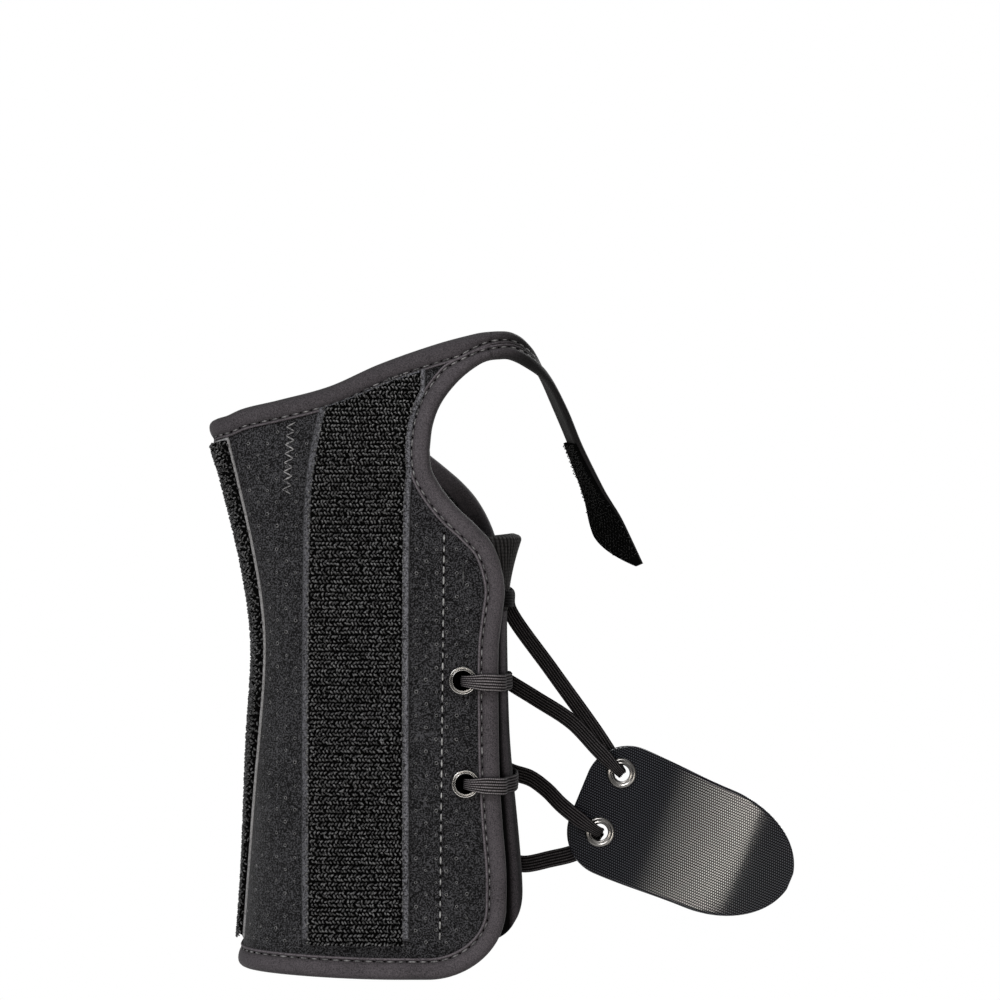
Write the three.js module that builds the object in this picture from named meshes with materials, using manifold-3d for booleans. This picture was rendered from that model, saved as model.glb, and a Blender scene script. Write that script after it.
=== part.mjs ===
// A right-hand lace-up wrist brace, worn open: a bound wrap of perforated suede cloth with a thumb cut-out,
// loop strips, a web strap, a tongue under the lacing, and a flat lace that ends in a pull tab.
// Millimetres. The origin is on the axis of the hollow, at the wrist.
// +X points to the thumb side, +Y to the back of the hand, +Z to the fingers.
import * as THREE from "three";
import { mergeVertices } from "three/addons/utils/BufferGeometryUtils.js";
import Module from "manifold-3d";

const wasm = await Module();
wasm.setup();

// Layers, measured outwards from the middle of the wrap's wall.
const GAP = 0.3;
const WALL = 2.5;
const WALL_FACE = WALL / 2;
const TRIM = { inner: WALL_FACE + 0.45, outer: WALL_FACE + 1.05 };
const BACKING = { inner: WALL_FACE + GAP, outer: WALL_FACE + GAP + 0.8 };
const PILE = { inner: BACKING.outer + GAP, outer: BACKING.outer + GAP + 1.8 };
const TONGUE = { inner: -6.1, outer: -4.5 };

// The wrap's middle surface: where each level ends on the left, right, palm side and back.
const SECTIONS = [
  { z: -119, left: -44.6, right: 50.4, front: -33.0, back: 31.0 },
  { z: -88, left: -42.3, right: 49.6, front: -31.5, back: 29.5 },
  { z: -45, left: -40.6, right: 45.8, front: -29.0, back: 27.0 },
  { z: -14, left: -39.1, right: 44.8, front: -27.0, back: 25.5 },
  { z: 10, left: -42.2, right: 45.1, front: -24.8, back: 25.0 },
  { z: 39, left: -49.5, right: 46.2, front: -18.5, back: 26.2 },
  { z: 56, left: -54.5, right: 47.0, front: -14.0, back: 28.0 },
  { z: 88, left: -57.5, right: 48.0, front: -6.0, back: 32.0 },
];
// How square each quarter of a level is: 2 is an ellipse.
const SQUARENESS = { frontRight: 4, frontLeft: 3, backLeft: 2.4, backRight: 2.6 };
const SECTION_SAMPLES = 360;
const CENTRE_LINE_X = -7.5; // the palm strip's middle, where distances round the wrap start

// The wrap's cut edges.
const HEM_Z = -117.4;
const HEM_RISE = { height: 1.5, from: 0.04, to: 0.34 }; // towards the little-finger side
const PALM_CORNER = 21;
const BACK_CORNER = 10;
const BACK_EDGE_X = 36;
const TOP_EDGE = [
  { x: 34.5, side: "front", z: 86.0 },
  { x: 18.8, side: "front", z: 81.8 },
  { x: -0.4, side: "front", z: 75.0 },
  { x: -16.4, side: "front", z: 67.8 },
  { x: -33.0, side: "front", z: 63.3 },
  { x: -44.3, side: "front", z: 60.7 },
  { x: -50.5, side: "front", z: 58.2 },
  { x: -50.5, side: "back", z: 55.6 },
  { x: -28.0, side: "back", z: 59.0 },
  { x: 0.0, side: "back", z: 55.0 },
  { x: 22.0, side: "back", z: 40.0 },
  { x: 36.0, side: "back", z: 24.0 },
];
// The thumb cut-out, from the lacing edge in to its deepest point.
const THUMB_LOWER = [
  { x: 36.1, z: 0.5 },
  { x: 35.7, z: 8.5 },
  { x: 34.9, z: 14.2 },
  { x: 33.2, z: 19.0 },
  { x: 29.0, z: 24.0 },
  { x: 24.1, z: 28.5 },
  { x: 19.1, z: 34.4 },
  { x: 14.9, z: 41.8 },
  { x: 14.1, z: 48.5 },
];
// And from there out to the web strap.
const THUMB_UPPER = [
  { x: 14.1, z: 48.5 },
  { x: 15.1, z: 56.8 },
  { x: 17.7, z: 63.9 },
  { x: 22.8, z: 70.9 },
  { x: 28.0, z: 75.6 },
  { x: 33.2, z: 79.0 },
];
const NOTCH = { x: 14.1, z: 48.5 };
// The lacing edge swells out beside the cuff and towards the hem.
const EDGE_SWELL = [
  { z: -118, shift: 1.5 },
  { z: -100, shift: 2.3 },
  { z: -85, shift: 2.4 },
  { z: -70, shift: 1.2 },
  { z: -55, shift: 0.3 },
  { z: -40, shift: 0 },
  { z: -15, shift: 0 },
  { z: -4, shift: 1.2 },
  { z: 4, shift: 2.2 },
  { z: 12, shift: 1.4 },
  { z: 22, shift: 0 },
];
const SWELL_REACH = 22;

// Trim and strips.
const BINDING_WIDTH = 5.6;
const BINDING_STEP = 5;
const BINDING_STRAIGHT_STEP = 14;
const BINDING_LACING_STEP = 9;
const EDGE_GAP = 0.8; // from the wrap's cut edge to the fold over it
const POCKET_WIDTH = 34.5;
const PALM_LOOP_WIDTH = 29.5;
const STRIP_LEAN = [
  { z: -110, shift: 0 },
  { z: 30, shift: 0 },
  { z: 48, shift: 1.6 },
  { z: 66, shift: 5.2 },
];
const POCKET_FOOT_Z = -106.6;
const PALM_LOOP_FOOT_Z = -108.0;
const THUMB_CLEAR = BINDING_WIDTH + 0.9; // from the thumb cut-out to the palm strip
const STRIP_HEAD_GAP = BINDING_WIDTH + 1.2;
const PALM_LOOP_HEAD_GAP = 3.6; // the palm loop stands over the top binding
const ULNAR_FOOT_Z = -108.5;
const ULNAR_WIDTH = 27;
const ULNAR_EDGE = [
  { z: -109, x: -43.0 },
  { z: -93, x: -41.9 },
  { z: -77, x: -40.7 },
  { z: -62, x: -39.5 },
  { z: -42, x: -37.6 },
  { z: -19, x: -36.0 },
  { z: 0, x: -37.1 },
  { z: 20, x: -40.7 },
  { z: 39, x: -45.3 },
  { z: 53, x: -48.9 },
];
const EDGING = 1.4; // how far a strip's backing shows beside its pile

// Tongue and its knitted cuff.
const TONGUE_UNDERLAP = 20;
const TONGUE_TOP_Z = -3;
const TONGUE_FOOT = { palm: -107.5, back: -92, from: -0.03, to: 0.55 };
const CUFF = { low: -2.4, high: 20.5, flare: 4.1, underlap: 9 };

// Eyelets: a barrel with a rim outside (seat to top) and a washer behind.
const EYELET = {
  hole: 3.0,
  barrel: 3.4,
  rim: 4.6,
  seat: 2.0,
  top: 2.9,
  backRim: 4.2,
  backSeat: 2.0,
  back: 2.6,
};
const TAB_EYELET = {
  hole: 2.7,
  barrel: 3.2,
  rim: 4.7,
  seat: 1.15,
  top: 2.0,
  backRim: 4.7,
  backSeat: 1.15,
  back: 2.0,
};
const EYELET_SIDES = 12;
const PALM_EYELETS = [
  { name: "palm_eyelet_1", x: 25.9, z: -24.8 },
  { name: "palm_eyelet_2", x: 26.8, z: -57.3 },
];
const BACK_EYELETS = [
  { name: "back_eyelet_1", z: 6.5 },
  { name: "back_eyelet_2", z: -25.5 },
  { name: "back_eyelet_3", z: -56.0 },
  { name: "back_eyelet_4", z: -86.5 },
];
const BACK_EYELET_INSET = 12.6;

// Lace: a flat braid, squeezed narrower where it passes an eyelet.
const LACE = { width: 5.5, thickness: 1.2, inHole: 3.6 };
const LACE_OVER = 3.3;
const LACE_UNDER = -3.48;
const TOP_CROSSING_Z = 1.5;
// Each free strand's way from the back edge to the pull tab.
const STRANDS = [
  {
    name: "lace_strand_1",
    drop: -5.5,
    way: [
      [41.4, 14.0, -4.2],
      [55.1, 10.5, -23.6],
      [69.1, 8.6, -43.1],
      [74.0, 8.2, -50.6],
      [76.7, 8.0, -55.0],
      [77.6, 6.7, -56.4],
      [77.7, 4.9, -56.6],
    ],
  },
  {
    name: "lace_strand_2",
    drop: -1.2,
    way: [
      [41.9, 14.0, -28.0],
      [50.1, 9.5, -32.8],
      [61.5, 4.6, -40.0],
      [69.6, 1.6, -48.4],
      [74.0, 0.6, -52.9],
      [76.4, 1.2, -55.4],
      [77.3, 2.5, -56.3],
      [77.4, 3.4, -56.4],
    ],
  },
  {
    name: "lace_strand_3",
    drop: -0.8,
    way: [
      [43.2, 13.0, -57.4],
      [48.2, 9.5, -58.8],
      [53.4, 6.2, -62.4],
      [57.9, 3.4, -66.8],
      [62.7, 1.4, -70.6],
      [67.3, 0.5, -73.8],
      [69.6, 1.2, -75.2],
      [70.4, 2.6, -75.7],
      [70.5, 3.5, -75.8],
    ],
  },
  {
    name: "lace_strand_4",
    drop: -0.4,
    way: [
      [46.6, 13.0, -87.2],
      [54.1, 10.8, -85.4],
      [62.6, 9.2, -83.0],
      [67.6, 8.4, -79.6],
      [70.0, 7.6, -76.8],
      [70.5, 6.3, -75.9],
      [70.5, 4.9, -75.8],
    ],
  },
];

// Pull tab: a stiff tongue of webbing, its length running down to the right, bowed towards the palm side.
const TAB = {
  origin: [64.0, 5.97, -63.6],
  slope: 22.5,
  length: 74.3,
  halfWidth: 21.9,
  tailHalfWidth: 20.7,
  corner: 14,
  tail: 29.3,
  bow: 5,
  bowHalfLength: 36,
  thickness: 1.7,
};
const TAB_EYELETS = [
  { name: "tab_eyelet_1", u: 10.05, v: 11.75 },
  { name: "tab_eyelet_2", u: 10.85, v: -8.65 },
];

// Web strap: its middle line, the way its outer face looks, and its width.
const STRAP = [
  { x: 34.2, y: -5.9, z: 82.3, lookX: 0.16, lookY: -0.96, lookZ: 0.2, width: 9.4 },
  { x: 41.0, y: -4.0, z: 82.4, lookX: 0.35, lookY: -0.82, lookZ: 0.42, width: 9.6 },
  { x: 47.6, y: 2.0, z: 78.6, lookX: 0.68, lookY: -0.42, lookZ: 0.58, width: 9.8 },
  { x: 52.6, y: 10.0, z: 72.8, lookX: 0.76, lookY: 0.02, lookZ: 0.64, width: 9.8 },
  { x: 57.8, y: 16.5, z: 62.6, lookX: 0.79, lookY: 0.24, lookZ: 0.56, width: 9.8 },
  { x: 63.3, y: 20.5, z: 49.6, lookX: 0.86, lookY: 0.3, lookZ: 0.41, width: 9.8 },
  { x: 69.8, y: 22.0, z: 34.6, lookX: 0.76, lookY: 0.55, lookZ: 0.34, width: 9.8 },
  { x: 74.1, y: 21.6, z: 23.2, lookX: 0.34, lookY: 0.93, lookZ: 0.14, width: 11.2 },
  { x: 80.2, y: 20.6, z: 9.2, lookX: 0.22, lookY: 0.97, lookZ: 0.09, width: 11.6 },
];
const STRAP_THICKNESS = 2.2;
const STRAP_STATIONS = 20;
const STRAP_END_SLANT = 12.5; // how much shorter its thumb-side edge is
const STRAP_END_CURVE = 1.6; // rounds the slanted end outwards
const STRAP_TIP = 2.4;
const HOOK = { from: 0.6, margin: 0.9, thickness: 1.2 };

// Colours.
const suede = new THREE.MeshStandardMaterial({ color: 0x1d1d1f, roughness: 0.95, metalness: 0 });
const bindingCloth = new THREE.MeshStandardMaterial({ color: 0x3a373b, roughness: 0.75, metalness: 0 });
const loopPile = new THREE.MeshStandardMaterial({ color: 0x101011, roughness: 0.9, metalness: 0 });
const knit = new THREE.MeshStandardMaterial({ color: 0x1a1918, roughness: 0.9, metalness: 0 });
const braid = new THREE.MeshStandardMaterial({ color: 0x1f1d1c, roughness: 0.8, metalness: 0 });
const webbing = new THREE.MeshStandardMaterial({ color: 0x191b1f, roughness: 0.45, metalness: 0 });
const nickel = new THREE.MeshStandardMaterial({ color: 0x8d8a86, roughness: 0.3, metalness: 1 });

// A smooth curve through a table's rows, read at one value of its key column.
function along(table, key, value, at) {
  const last = table.length - 1;
  const rising = table[last][key] > table[0][key];
  let i = 0;
  while (i < last - 1 && (rising ? at > table[i + 1][key] : at < table[i + 1][key])) i += 1;
  const slope = (k) => {
    const a = table[Math.max(k - 1, 0)];
    const b = table[Math.min(k + 1, last)];
    return (b[value] - a[value]) / (b[key] - a[key]);
  };
  const a = table[i];
  const b = table[i + 1];
  const span = b[key] - a[key];
  const t = THREE.MathUtils.clamp((at - a[key]) / span, 0, 1);
  const t2 = t * t;
  const t3 = t2 * t;
  return (
    (2 * t3 - 3 * t2 + 1) * a[value] +
    (t3 - 2 * t2 + t) * span * slope(i) +
    (3 * t2 - 2 * t3) * b[value] +
    (t3 - t2) * span * slope(i + 1)
  );
}

// One level of the middle surface: points all round, with their distance from the palm's centre line.
const levels = new Map();
function level(z) {
  const key = z.toFixed(3);
  if (levels.has(key)) return levels.get(key);
  const sides = ["left", "right", "front", "back"];
  const [left, right, front, back] = sides.map((name) => along(SECTIONS, "z", name, z));
  const centre = new THREE.Vector2((left + right) / 2, (front + back) / 2);
  const half = new THREE.Vector2((right - left) / 2, (back - front) / 2);
  const round = [];
  for (let i = 0; i < SECTION_SAMPLES; i += 1) {
    const angle = (i / SECTION_SAMPLES) * 2 * Math.PI - Math.PI / 2;
    const c = Math.cos(angle);
    const s = Math.sin(angle);
    const quarter = (s < 0 ? "front" : "back") + (c > 0 ? "Right" : "Left");
    const power = 2 / SQUARENESS[quarter];
    round.push(
      new THREE.Vector2(
        centre.x + half.x * Math.sign(c) * Math.abs(c) ** power,
        centre.y + half.y * Math.sign(s) * Math.abs(s) ** power,
      ),
    );
  }
  round.push(round[0].clone());
  const reach = [0];
  for (let i = 1; i < round.length; i += 1) reach.push(reach[i - 1] + round[i].distanceTo(round[i - 1]));
  const made = { round, reach, length: reach[reach.length - 1], start: 0 };
  levels.set(key, made);
  made.start = arcAtX(made, CENTRE_LINE_X, "front");
  return made;
}

// The distance round a level, from its own first point, at which x is reached on the front or the back.
function arcAtX(made, x, side) {
  const { round, reach, length } = made;
  const middle = (round[0].y + round[SECTION_SAMPLES / 2].y) / 2;
  for (let i = 1; i < round.length; i += 1) {
    const a = round[i - 1];
    const b = round[i];
    const here = (side === "front") === ((a.y + b.y) / 2 < middle);
    if (here && (a.x - x) * (b.x - x) <= 0 && a.x !== b.x) {
      const arc = reach[i - 1] + ((x - a.x) / (b.x - a.x)) * (reach[i] - reach[i - 1]);
      return side === "front" && arc > length / 2 ? arc - length : arc;
    }
  }
  throw new Error("no point of this level has x = " + x);
}

// Distance round the wrap from the palm's centre line: positive to the thumb side.
function roundAt(x, side, z) {
  const made = level(z);
  return arcAtX(made, x, side) - made.start;
}

// A point of the brace: s round it, z up it, t outwards from the wrap's middle.
function at(s, z, t) {
  const { round, reach, length, start } = level(z);
  const arc = (((s + start) % length) + length) % length;
  let low = 0;
  let high = reach.length - 1;
  while (high - low > 1) {
    const mid = (low + high) >> 1;
    if (reach[mid] > arc) high = mid;
    else low = mid;
  }
  const share = (arc - reach[low]) / (reach[high] - reach[low]);
  const tangentAt = (i) => {
    const a = round[(i - 1 + SECTION_SAMPLES) % SECTION_SAMPLES];
    const b = round[(i + 1) % SECTION_SAMPLES];
    return b.clone().sub(a).normalize();
  };
  const tangent = tangentAt(low).lerp(tangentAt(high % SECTION_SAMPLES), share).normalize();
  const place = round[low].clone().lerp(round[high], share);
  return new THREE.Vector3(place.x + tangent.y * t, place.y - tangent.x * t, z);
}

function outwards(s, z) {
  return at(s, z, 1).sub(at(s, z, 0)).normalize();
}

// The wrap runs from the notch line (share 0) round the little-finger side to its back edge (share 1).
const NOTCH_S = roundAt(NOTCH.x, "front", NOTCH.z);
const LACING_EDGE_S = roundAt(THUMB_LOWER[0].x, "front", THUMB_LOWER[0].z);
const backEdge = (z) => roundAt(BACK_EDGE_X, "back", z) - level(z).length;
const wrapAt = (share, z) => NOTCH_S + share * (backEdge(z) - NOTCH_S);
const shareAt = (s, z) => (s - NOTCH_S) / (backEdge(z) - NOTCH_S);

const topRows = TOP_EDGE.map(({ x, side, z }) => {
  const s = side === "front" ? roundAt(x, side, z) : roundAt(x, side, z) - level(z).length;
  return { share: shareAt(s, z), z };
});
const corner = (inset, radius) => {
  const d = THREE.MathUtils.clamp(inset, 0, radius);
  return radius - Math.sqrt(radius * radius - (radius - d) ** 2);
};
const backInset = (share) => (1 - share) * (NOTCH_S - backEdge(HEM_Z));
const topZ = (share) => along(topRows, "share", "z", share) - corner(backInset(share), BACK_CORNER);
const hemRise = (share) => HEM_RISE.height * THREE.MathUtils.smoothstep(share, HEM_RISE.from, HEM_RISE.to);
const hemZ = (share) => HEM_Z + hemRise(share) + corner(backInset(share), BACK_CORNER);
const flapHemZ = (s) => HEM_Z + corner(LACING_EDGE_S - s, PALM_CORNER);
const swell = ({ s, z }) => {
  const near = THREE.MathUtils.smoothstep(s, LACING_EDGE_S - SWELL_REACH, LACING_EDGE_S);
  return { s: s + near * along(EDGE_SWELL, "z", "shift", z), z };
};
const thumbLower = THUMB_LOWER.map(({ x, z }) => ({ s: roundAt(x, "front", z), z })).reverse();
const thumbUpper = THUMB_UPPER.map(({ x, z }) => ({ s: roundAt(x, "front", z), z }));

// A smooth line through a few points of the flat pattern.
function patternCurve(rows, count) {
  const curve = new THREE.CatmullRomCurve3(
    rows.map(({ s, z }) => new THREE.Vector3(s, z, 0)),
    false,
    "centripetal",
  );
  return curve.getPoints(count).map((p) => ({ s: p.x, z: p.y }));
}

// A patch of the flat pattern: its points, and its four-sided cells seen from outside.
class Pattern {
  points = [];
  cells = [];
  known = new Map();

  point({ s, z }) {
    const key = s.toFixed(3) + " " + z.toFixed(3);
    if (!this.known.has(key)) {
      this.known.set(key, this.points.length);
      this.points.push({ s, z });
    }
    return this.known.get(key);
  }

  // Columns of points from left to right, each from its foot to its head.
  grid(columns) {
    const ids = columns.map((column) => column.map((p) => this.point(p)));
    for (let i = 1; i < ids.length; i += 1) {
      for (let j = 1; j < ids[i].length; j += 1) {
        this.cells.push([ids[i - 1][j - 1], ids[i][j - 1], ids[i][j], ids[i - 1][j]]);
      }
    }
    return this;
  }
}

// A closed wall from paired faces: cells on both, and sides along every free edge.
function wallGeometry(outer, inner, cells) {
  const count = outer.length;
  const position = new Float32Array([...outer, ...inner].flatMap((p) => [p.x, p.y, p.z]));
  const index = [];
  const edges = new Set();
  const face = (a, b, c, d) => index.push(a, b, c, a, c, d);
  for (const cell of cells) {
    face(...cell);
    face(...cell.map((i) => i + count).reverse());
    cell.forEach((a, i) => edges.add(a + "," + cell[(i + 1) % 4]));
  }
  for (const edge of edges) {
    const [a, b] = edge.split(",").map(Number);
    if (!edges.has(b + "," + a)) face(b, a, a + count, b + count);
  }
  const geometry = new THREE.BufferGeometry();
  return geometry.setAttribute("position", new THREE.BufferAttribute(position, 3)).setIndex(index);
}

// A pattern laid on the brace between two depths, each a number or a function of the point.
function layer(pattern, inner, outer) {
  const depth = (t, p) => (typeof t === "function" ? t(p) : t);
  return wallGeometry(
    pattern.points.map((p) => at(p.s, p.z, depth(outer, p))),
    pattern.points.map((p) => at(p.s, p.z, depth(inner, p))),
    pattern.cells,
  );
}

// A solid through closed rings of equal count, with its end faces given as triangles of one ring.
const fan = (sides) => Array.from({ length: sides - 2 }, (_, i) => [0, i + 1, i + 2]);
function ringsGeometry(rings, caps = fan(rings[0].length)) {
  const sides = rings[0].length;
  const position = new Float32Array(rings.flat().flatMap((p) => [p.x, p.y, p.z]));
  const index = [];
  for (let i = 1; i < rings.length; i += 1) {
    for (let j = 0; j < sides; j += 1) {
      const k = (j + 1) % sides;
      const [a, b, c, d] = [(i - 1) * sides + j, (i - 1) * sides + k, i * sides + k, i * sides + j];
      index.push(a, b, c, a, c, d);
    }
  }
  const end = (rings.length - 1) * sides;
  for (const [a, b, c] of caps) {
    index.push(a, c, b);
    index.push(end + a, end + b, end + c);
  }
  const geometry = new THREE.BufferGeometry();
  return geometry.setAttribute("position", new THREE.BufferAttribute(position, 3)).setIndex(index);
}

// Joining and cutting.
function solidOf(geometry) {
  const bare = new THREE.BufferGeometry().setAttribute("position", geometry.getAttribute("position"));
  if (geometry.index) bare.setIndex(geometry.index);
  const merged = mergeVertices(bare, 1e-4);
  return new wasm.Manifold(
    new wasm.Mesh({
      numProp: 3,
      vertProperties: merged.attributes.position.array,
      triVerts: new Uint32Array(merged.index.array),
    }),
  );
}

function geometryOf(solid) {
  const mesh = solid.getMesh();
  return new THREE.BufferGeometry()
    .setAttribute("position", new THREE.BufferAttribute(mesh.vertProperties, 3))
    .setIndex(new THREE.BufferAttribute(mesh.triVerts, 1));
}

// A round hole's cutter, along an axis through a point.
function holeCutter(place, axis, radius, depth) {
  const geometry = new THREE.CylinderGeometry(radius, radius, depth, EYELET_SIDES);
  geometry.applyQuaternion(new THREE.Quaternion().setFromUnitVectors(new THREE.Vector3(0, 1, 0), axis));
  return solidOf(geometry.translate(place.x, place.y, place.z));
}

const brace = new THREE.Group();
brace.name = "wrist_brace";
function add(name, geometry, material) {
  const mesh = new THREE.Mesh(geometry, material);
  mesh.name = name;
  brace.add(mesh);
  return mesh;
}

// The wrap.
const CORNER_COLUMNS = 5;
const ROWS_BELOW_NOTCH = 11;
const ROWS_ABOVE_NOTCH = 3;
const FLAP_COLUMNS = 11;
const BRIDGE_COLUMNS = 7;
const COLUMN_LENGTH = 9;
const COLUMN_TURN = 13; // degrees

// Columns stand closer where the wrap turns more sharply.
function columnShares(toShare) {
  const z = -30;
  const count = 400;
  const shares = [0];
  let used = 0;
  let last = outwards(wrapAt(0, z), z);
  for (let i = 1; i < count; i += 1) {
    const share = (i / count) * toShare;
    const look = outwards(wrapAt(share, z), z);
    const turn = THREE.MathUtils.radToDeg(last.angleTo(look));
    used += (toShare / count) * ((NOTCH_S - backEdge(z)) / COLUMN_LENGTH) + turn / COLUMN_TURN;
    last = look;
    if (used < 1) continue;
    shares.push(share);
    used = 0;
  }
  return shares;
}

function wrapPattern() {
  const cornerShare = BACK_CORNER / (NOTCH_S - backEdge(HEM_Z));
  const shares = columnShares(1 - cornerShare).filter((share) => share < 1 - cornerShare * 1.3);
  for (let i = 0; i <= CORNER_COLUMNS; i += 1) {
    shares.push(1 - cornerShare * (1 - Math.sin((i / CORNER_COLUMNS) * (Math.PI / 2))));
  }
  const notchRise = (NOTCH.z - HEM_Z) / (topZ(0) - HEM_Z);
  const rises = [];
  for (let j = 0; j <= ROWS_BELOW_NOTCH; j += 1) rises.push((j / ROWS_BELOW_NOTCH) * notchRise);
  for (let j = 1; j <= ROWS_ABOVE_NOTCH; j += 1) {
    rises.push(notchRise + (j / ROWS_ABOVE_NOTCH) * (1 - notchRise));
  }

  const body = shares.map((share) =>
    rises.map((rise) => {
      const z = THREE.MathUtils.lerp(hemZ(share), topZ(share), rise);
      return { s: wrapAt(share, z), z };
    }),
  );
  const rowsBelow = rises.slice(0, ROWS_BELOW_NOTCH + 1).map((rise) => rise / notchRise);
  const rowsAbove = rises.slice(ROWS_BELOW_NOTCH).map((rise) => (rise - notchRise) / (1 - notchRise));
  const flap = patternCurve(thumbLower, FLAP_COLUMNS).map(({ s, z }) =>
    rowsBelow.map((rise) => swell({ s, z: THREE.MathUtils.lerp(flapHemZ(s), z, rise) })),
  );
  const bridge = patternCurve(thumbUpper, BRIDGE_COLUMNS).map(({ s, z }) =>
    rowsAbove.map((rise) => ({ s, z: THREE.MathUtils.lerp(z, topZ(shareAt(s, z)), rise) })),
  );
  return new Pattern().grid(body.reverse()).grid(flap).grid(bridge);
}

const eyeletPlaces = [
  ...PALM_EYELETS.map(({ name, x, z }) => ({ name, s: roundAt(x, "front", z), z })),
  ...BACK_EYELETS.map(({ name, z }) => ({ name, s: backEdge(z) + BACK_EYELET_INSET, z })),
];

function wrapGeometry() {
  let solid = solidOf(layer(wrapPattern(), -WALL_FACE, WALL_FACE));
  for (const { s, z } of eyeletPlaces) {
    solid = solid.subtract(holeCutter(at(s, z, 0), outwards(s, z), EYELET.barrel + GAP + 0.1, 12));
  }
  return geometryOf(solid);
}
add("wrap", wrapGeometry(), suede);

// The binding: a tape folded over the wrap's cut edge.
function evenSteps(path, step) {
  const curve = new THREE.CurvePath();
  for (let i = 1; i < path.length; i += 1) {
    const [a, b] = [path[i - 1], path[i]].map(({ s, z }) => new THREE.Vector2(s, z));
    if (a.distanceTo(b) > 1e-3) curve.add(new THREE.LineCurve(a, b));
  }
  return curve.getSpacedPoints(Math.round(curve.getLength() / step));
}

// On the narrow bridge over the thumb, the two tapes share the height.
const bridgeHalf = (s) => (topZ(shareAt(s, 80)) - along(thumbUpper, "s", "z", s)) / 2 - GAP;
const BRIDGE_SHARE = 0.8;
const tapeWidth = ({ s, z }) => {
  if (s < NOTCH_S || z < NOTCH.z) return BINDING_WIDTH;
  return Math.min(BINDING_WIDTH, BRIDGE_SHARE * bridgeHalf(s));
};

function bindingGeometry(runs) {
  const overhang = EDGE_GAP + (TRIM.outer - TRIM.inner);
  const steps = runs.flatMap(({ path, step }, i) => evenSteps(path, step).slice(i === 0 ? 0 : 1));
  const rings = steps.map((p, i) => {
    const a = steps[Math.max(i - 1, 0)];
    const b = steps[Math.min(i + 1, steps.length - 1)];
    const inwards = new THREE.Vector2(a.y - b.y, b.x - a.x).normalize();
    const width = tapeWidth({ s: p.x, z: p.y });
    const fold = [
      { d: width, t: TRIM.inner },
      { d: width, t: TRIM.outer },
      { d: 0, t: TRIM.outer },
      { d: -overhang, t: TRIM.outer * 0.45 },
      { d: -overhang, t: -TRIM.outer * 0.45 },
      { d: 0, t: -TRIM.outer },
      { d: width, t: -TRIM.outer },
      { d: width, t: -TRIM.inner },
      { d: -EDGE_GAP, t: -TRIM.inner },
      { d: -EDGE_GAP, t: TRIM.inner },
    ];
    return fold.map(({ d, t }) => at(p.x + inwards.x * d, p.y + inwards.y * d, t));
  });
  const caps = [
    [0, 1, 9],
    [1, 2, 9],
    [9, 2, 3],
    [9, 3, 8],
    [3, 4, 8],
    [8, 4, 5],
    [8, 5, 7],
    [5, 6, 7],
  ];
  return ringsGeometry(rings, caps);
}

const RUN_POINTS = 160;
const wrapRun = (from, to, edge) =>
  Array.from({ length: RUN_POINTS + 1 }, (_, i) => {
    const share = THREE.MathUtils.lerp(from, to, i / RUN_POINTS);
    const z = edge(share);
    return { s: wrapAt(share, z), z };
  });
const bridgeEnd = thumbUpper[thumbUpper.length - 1];
const TAPE_JOIN = { top: 6, edge: 6.6 }; // how far below the back corner each tape ends
const backRun = (fromZ, toZ) =>
  Array.from({ length: RUN_POINTS + 1 }, (_, i) => {
    const z = THREE.MathUtils.lerp(fromZ, toZ, i / RUN_POINTS);
    return { s: backEdge(z), z };
  });
const topRun = [...wrapRun(shareAt(bridgeEnd.s, 80), 1, topZ), ...backRun(topZ(1), topZ(1) - TAPE_JOIN.top)];
const hemRun = wrapRun(1, 0, hemZ);
const flapHemRun = Array.from({ length: RUN_POINTS + 1 }, (_, i) => {
  const turn = Math.sin((i / RUN_POINTS) * (Math.PI / 2));
  const s = THREE.MathUtils.lerp(NOTCH_S, LACING_EDGE_S, turn);
  return { s, z: flapHemZ(s) };
});
const lacingTop = thumbLower[thumbLower.length - 1];
const lacingRun = Array.from({ length: RUN_POINTS + 1 }, (_, i) => ({
  s: LACING_EDGE_S,
  z: THREE.MathUtils.lerp(HEM_Z + PALM_CORNER, lacingTop.z, i / RUN_POINTS),
}));
const thumbRun = [...patternCurve([...thumbLower].reverse(), 80), ...patternCurve(thumbUpper, 80)];
const swollen = (path) => path.map(swell);
add("top_binding", bindingGeometry([{ path: topRun, step: BINDING_STEP }]), bindingCloth);
add(
  "edge_binding",
  bindingGeometry([
    { path: backRun(topZ(1) - TAPE_JOIN.edge, hemZ(1)), step: BINDING_STRAIGHT_STEP },
    { path: [...hemRun, ...swollen(flapHemRun)], step: BINDING_STEP },
    { path: swollen(lacingRun), step: BINDING_LACING_STEP },
    { path: swollen(thumbRun), step: BINDING_STEP },
  ]),
  bindingCloth,
);

// Strips sewn on the wrap: a grid between two edges, from a foot to just under the top binding.
const STRIP_ROWS = 12;
function stripPattern(leftAt, rightAt, footZ, headGap, columns) {
  const headZ = (s) => topZ(shareAt(s, topZ(shareAt(s, 60)))) - headGap;
  const made = [];
  for (let i = 0; i <= columns; i += 1) {
    const share = i / columns;
    const edgeAt = (z) => THREE.MathUtils.lerp(leftAt(z), rightAt(z), share);
    const head = headZ(edgeAt(60));
    made.push(
      Array.from({ length: STRIP_ROWS + 1 }, (_, j) => {
        const z = THREE.MathUtils.lerp(footZ, head, j / STRIP_ROWS);
        return { s: edgeAt(z), z };
      }),
    );
  }
  return new Pattern().grid(made);
}

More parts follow.
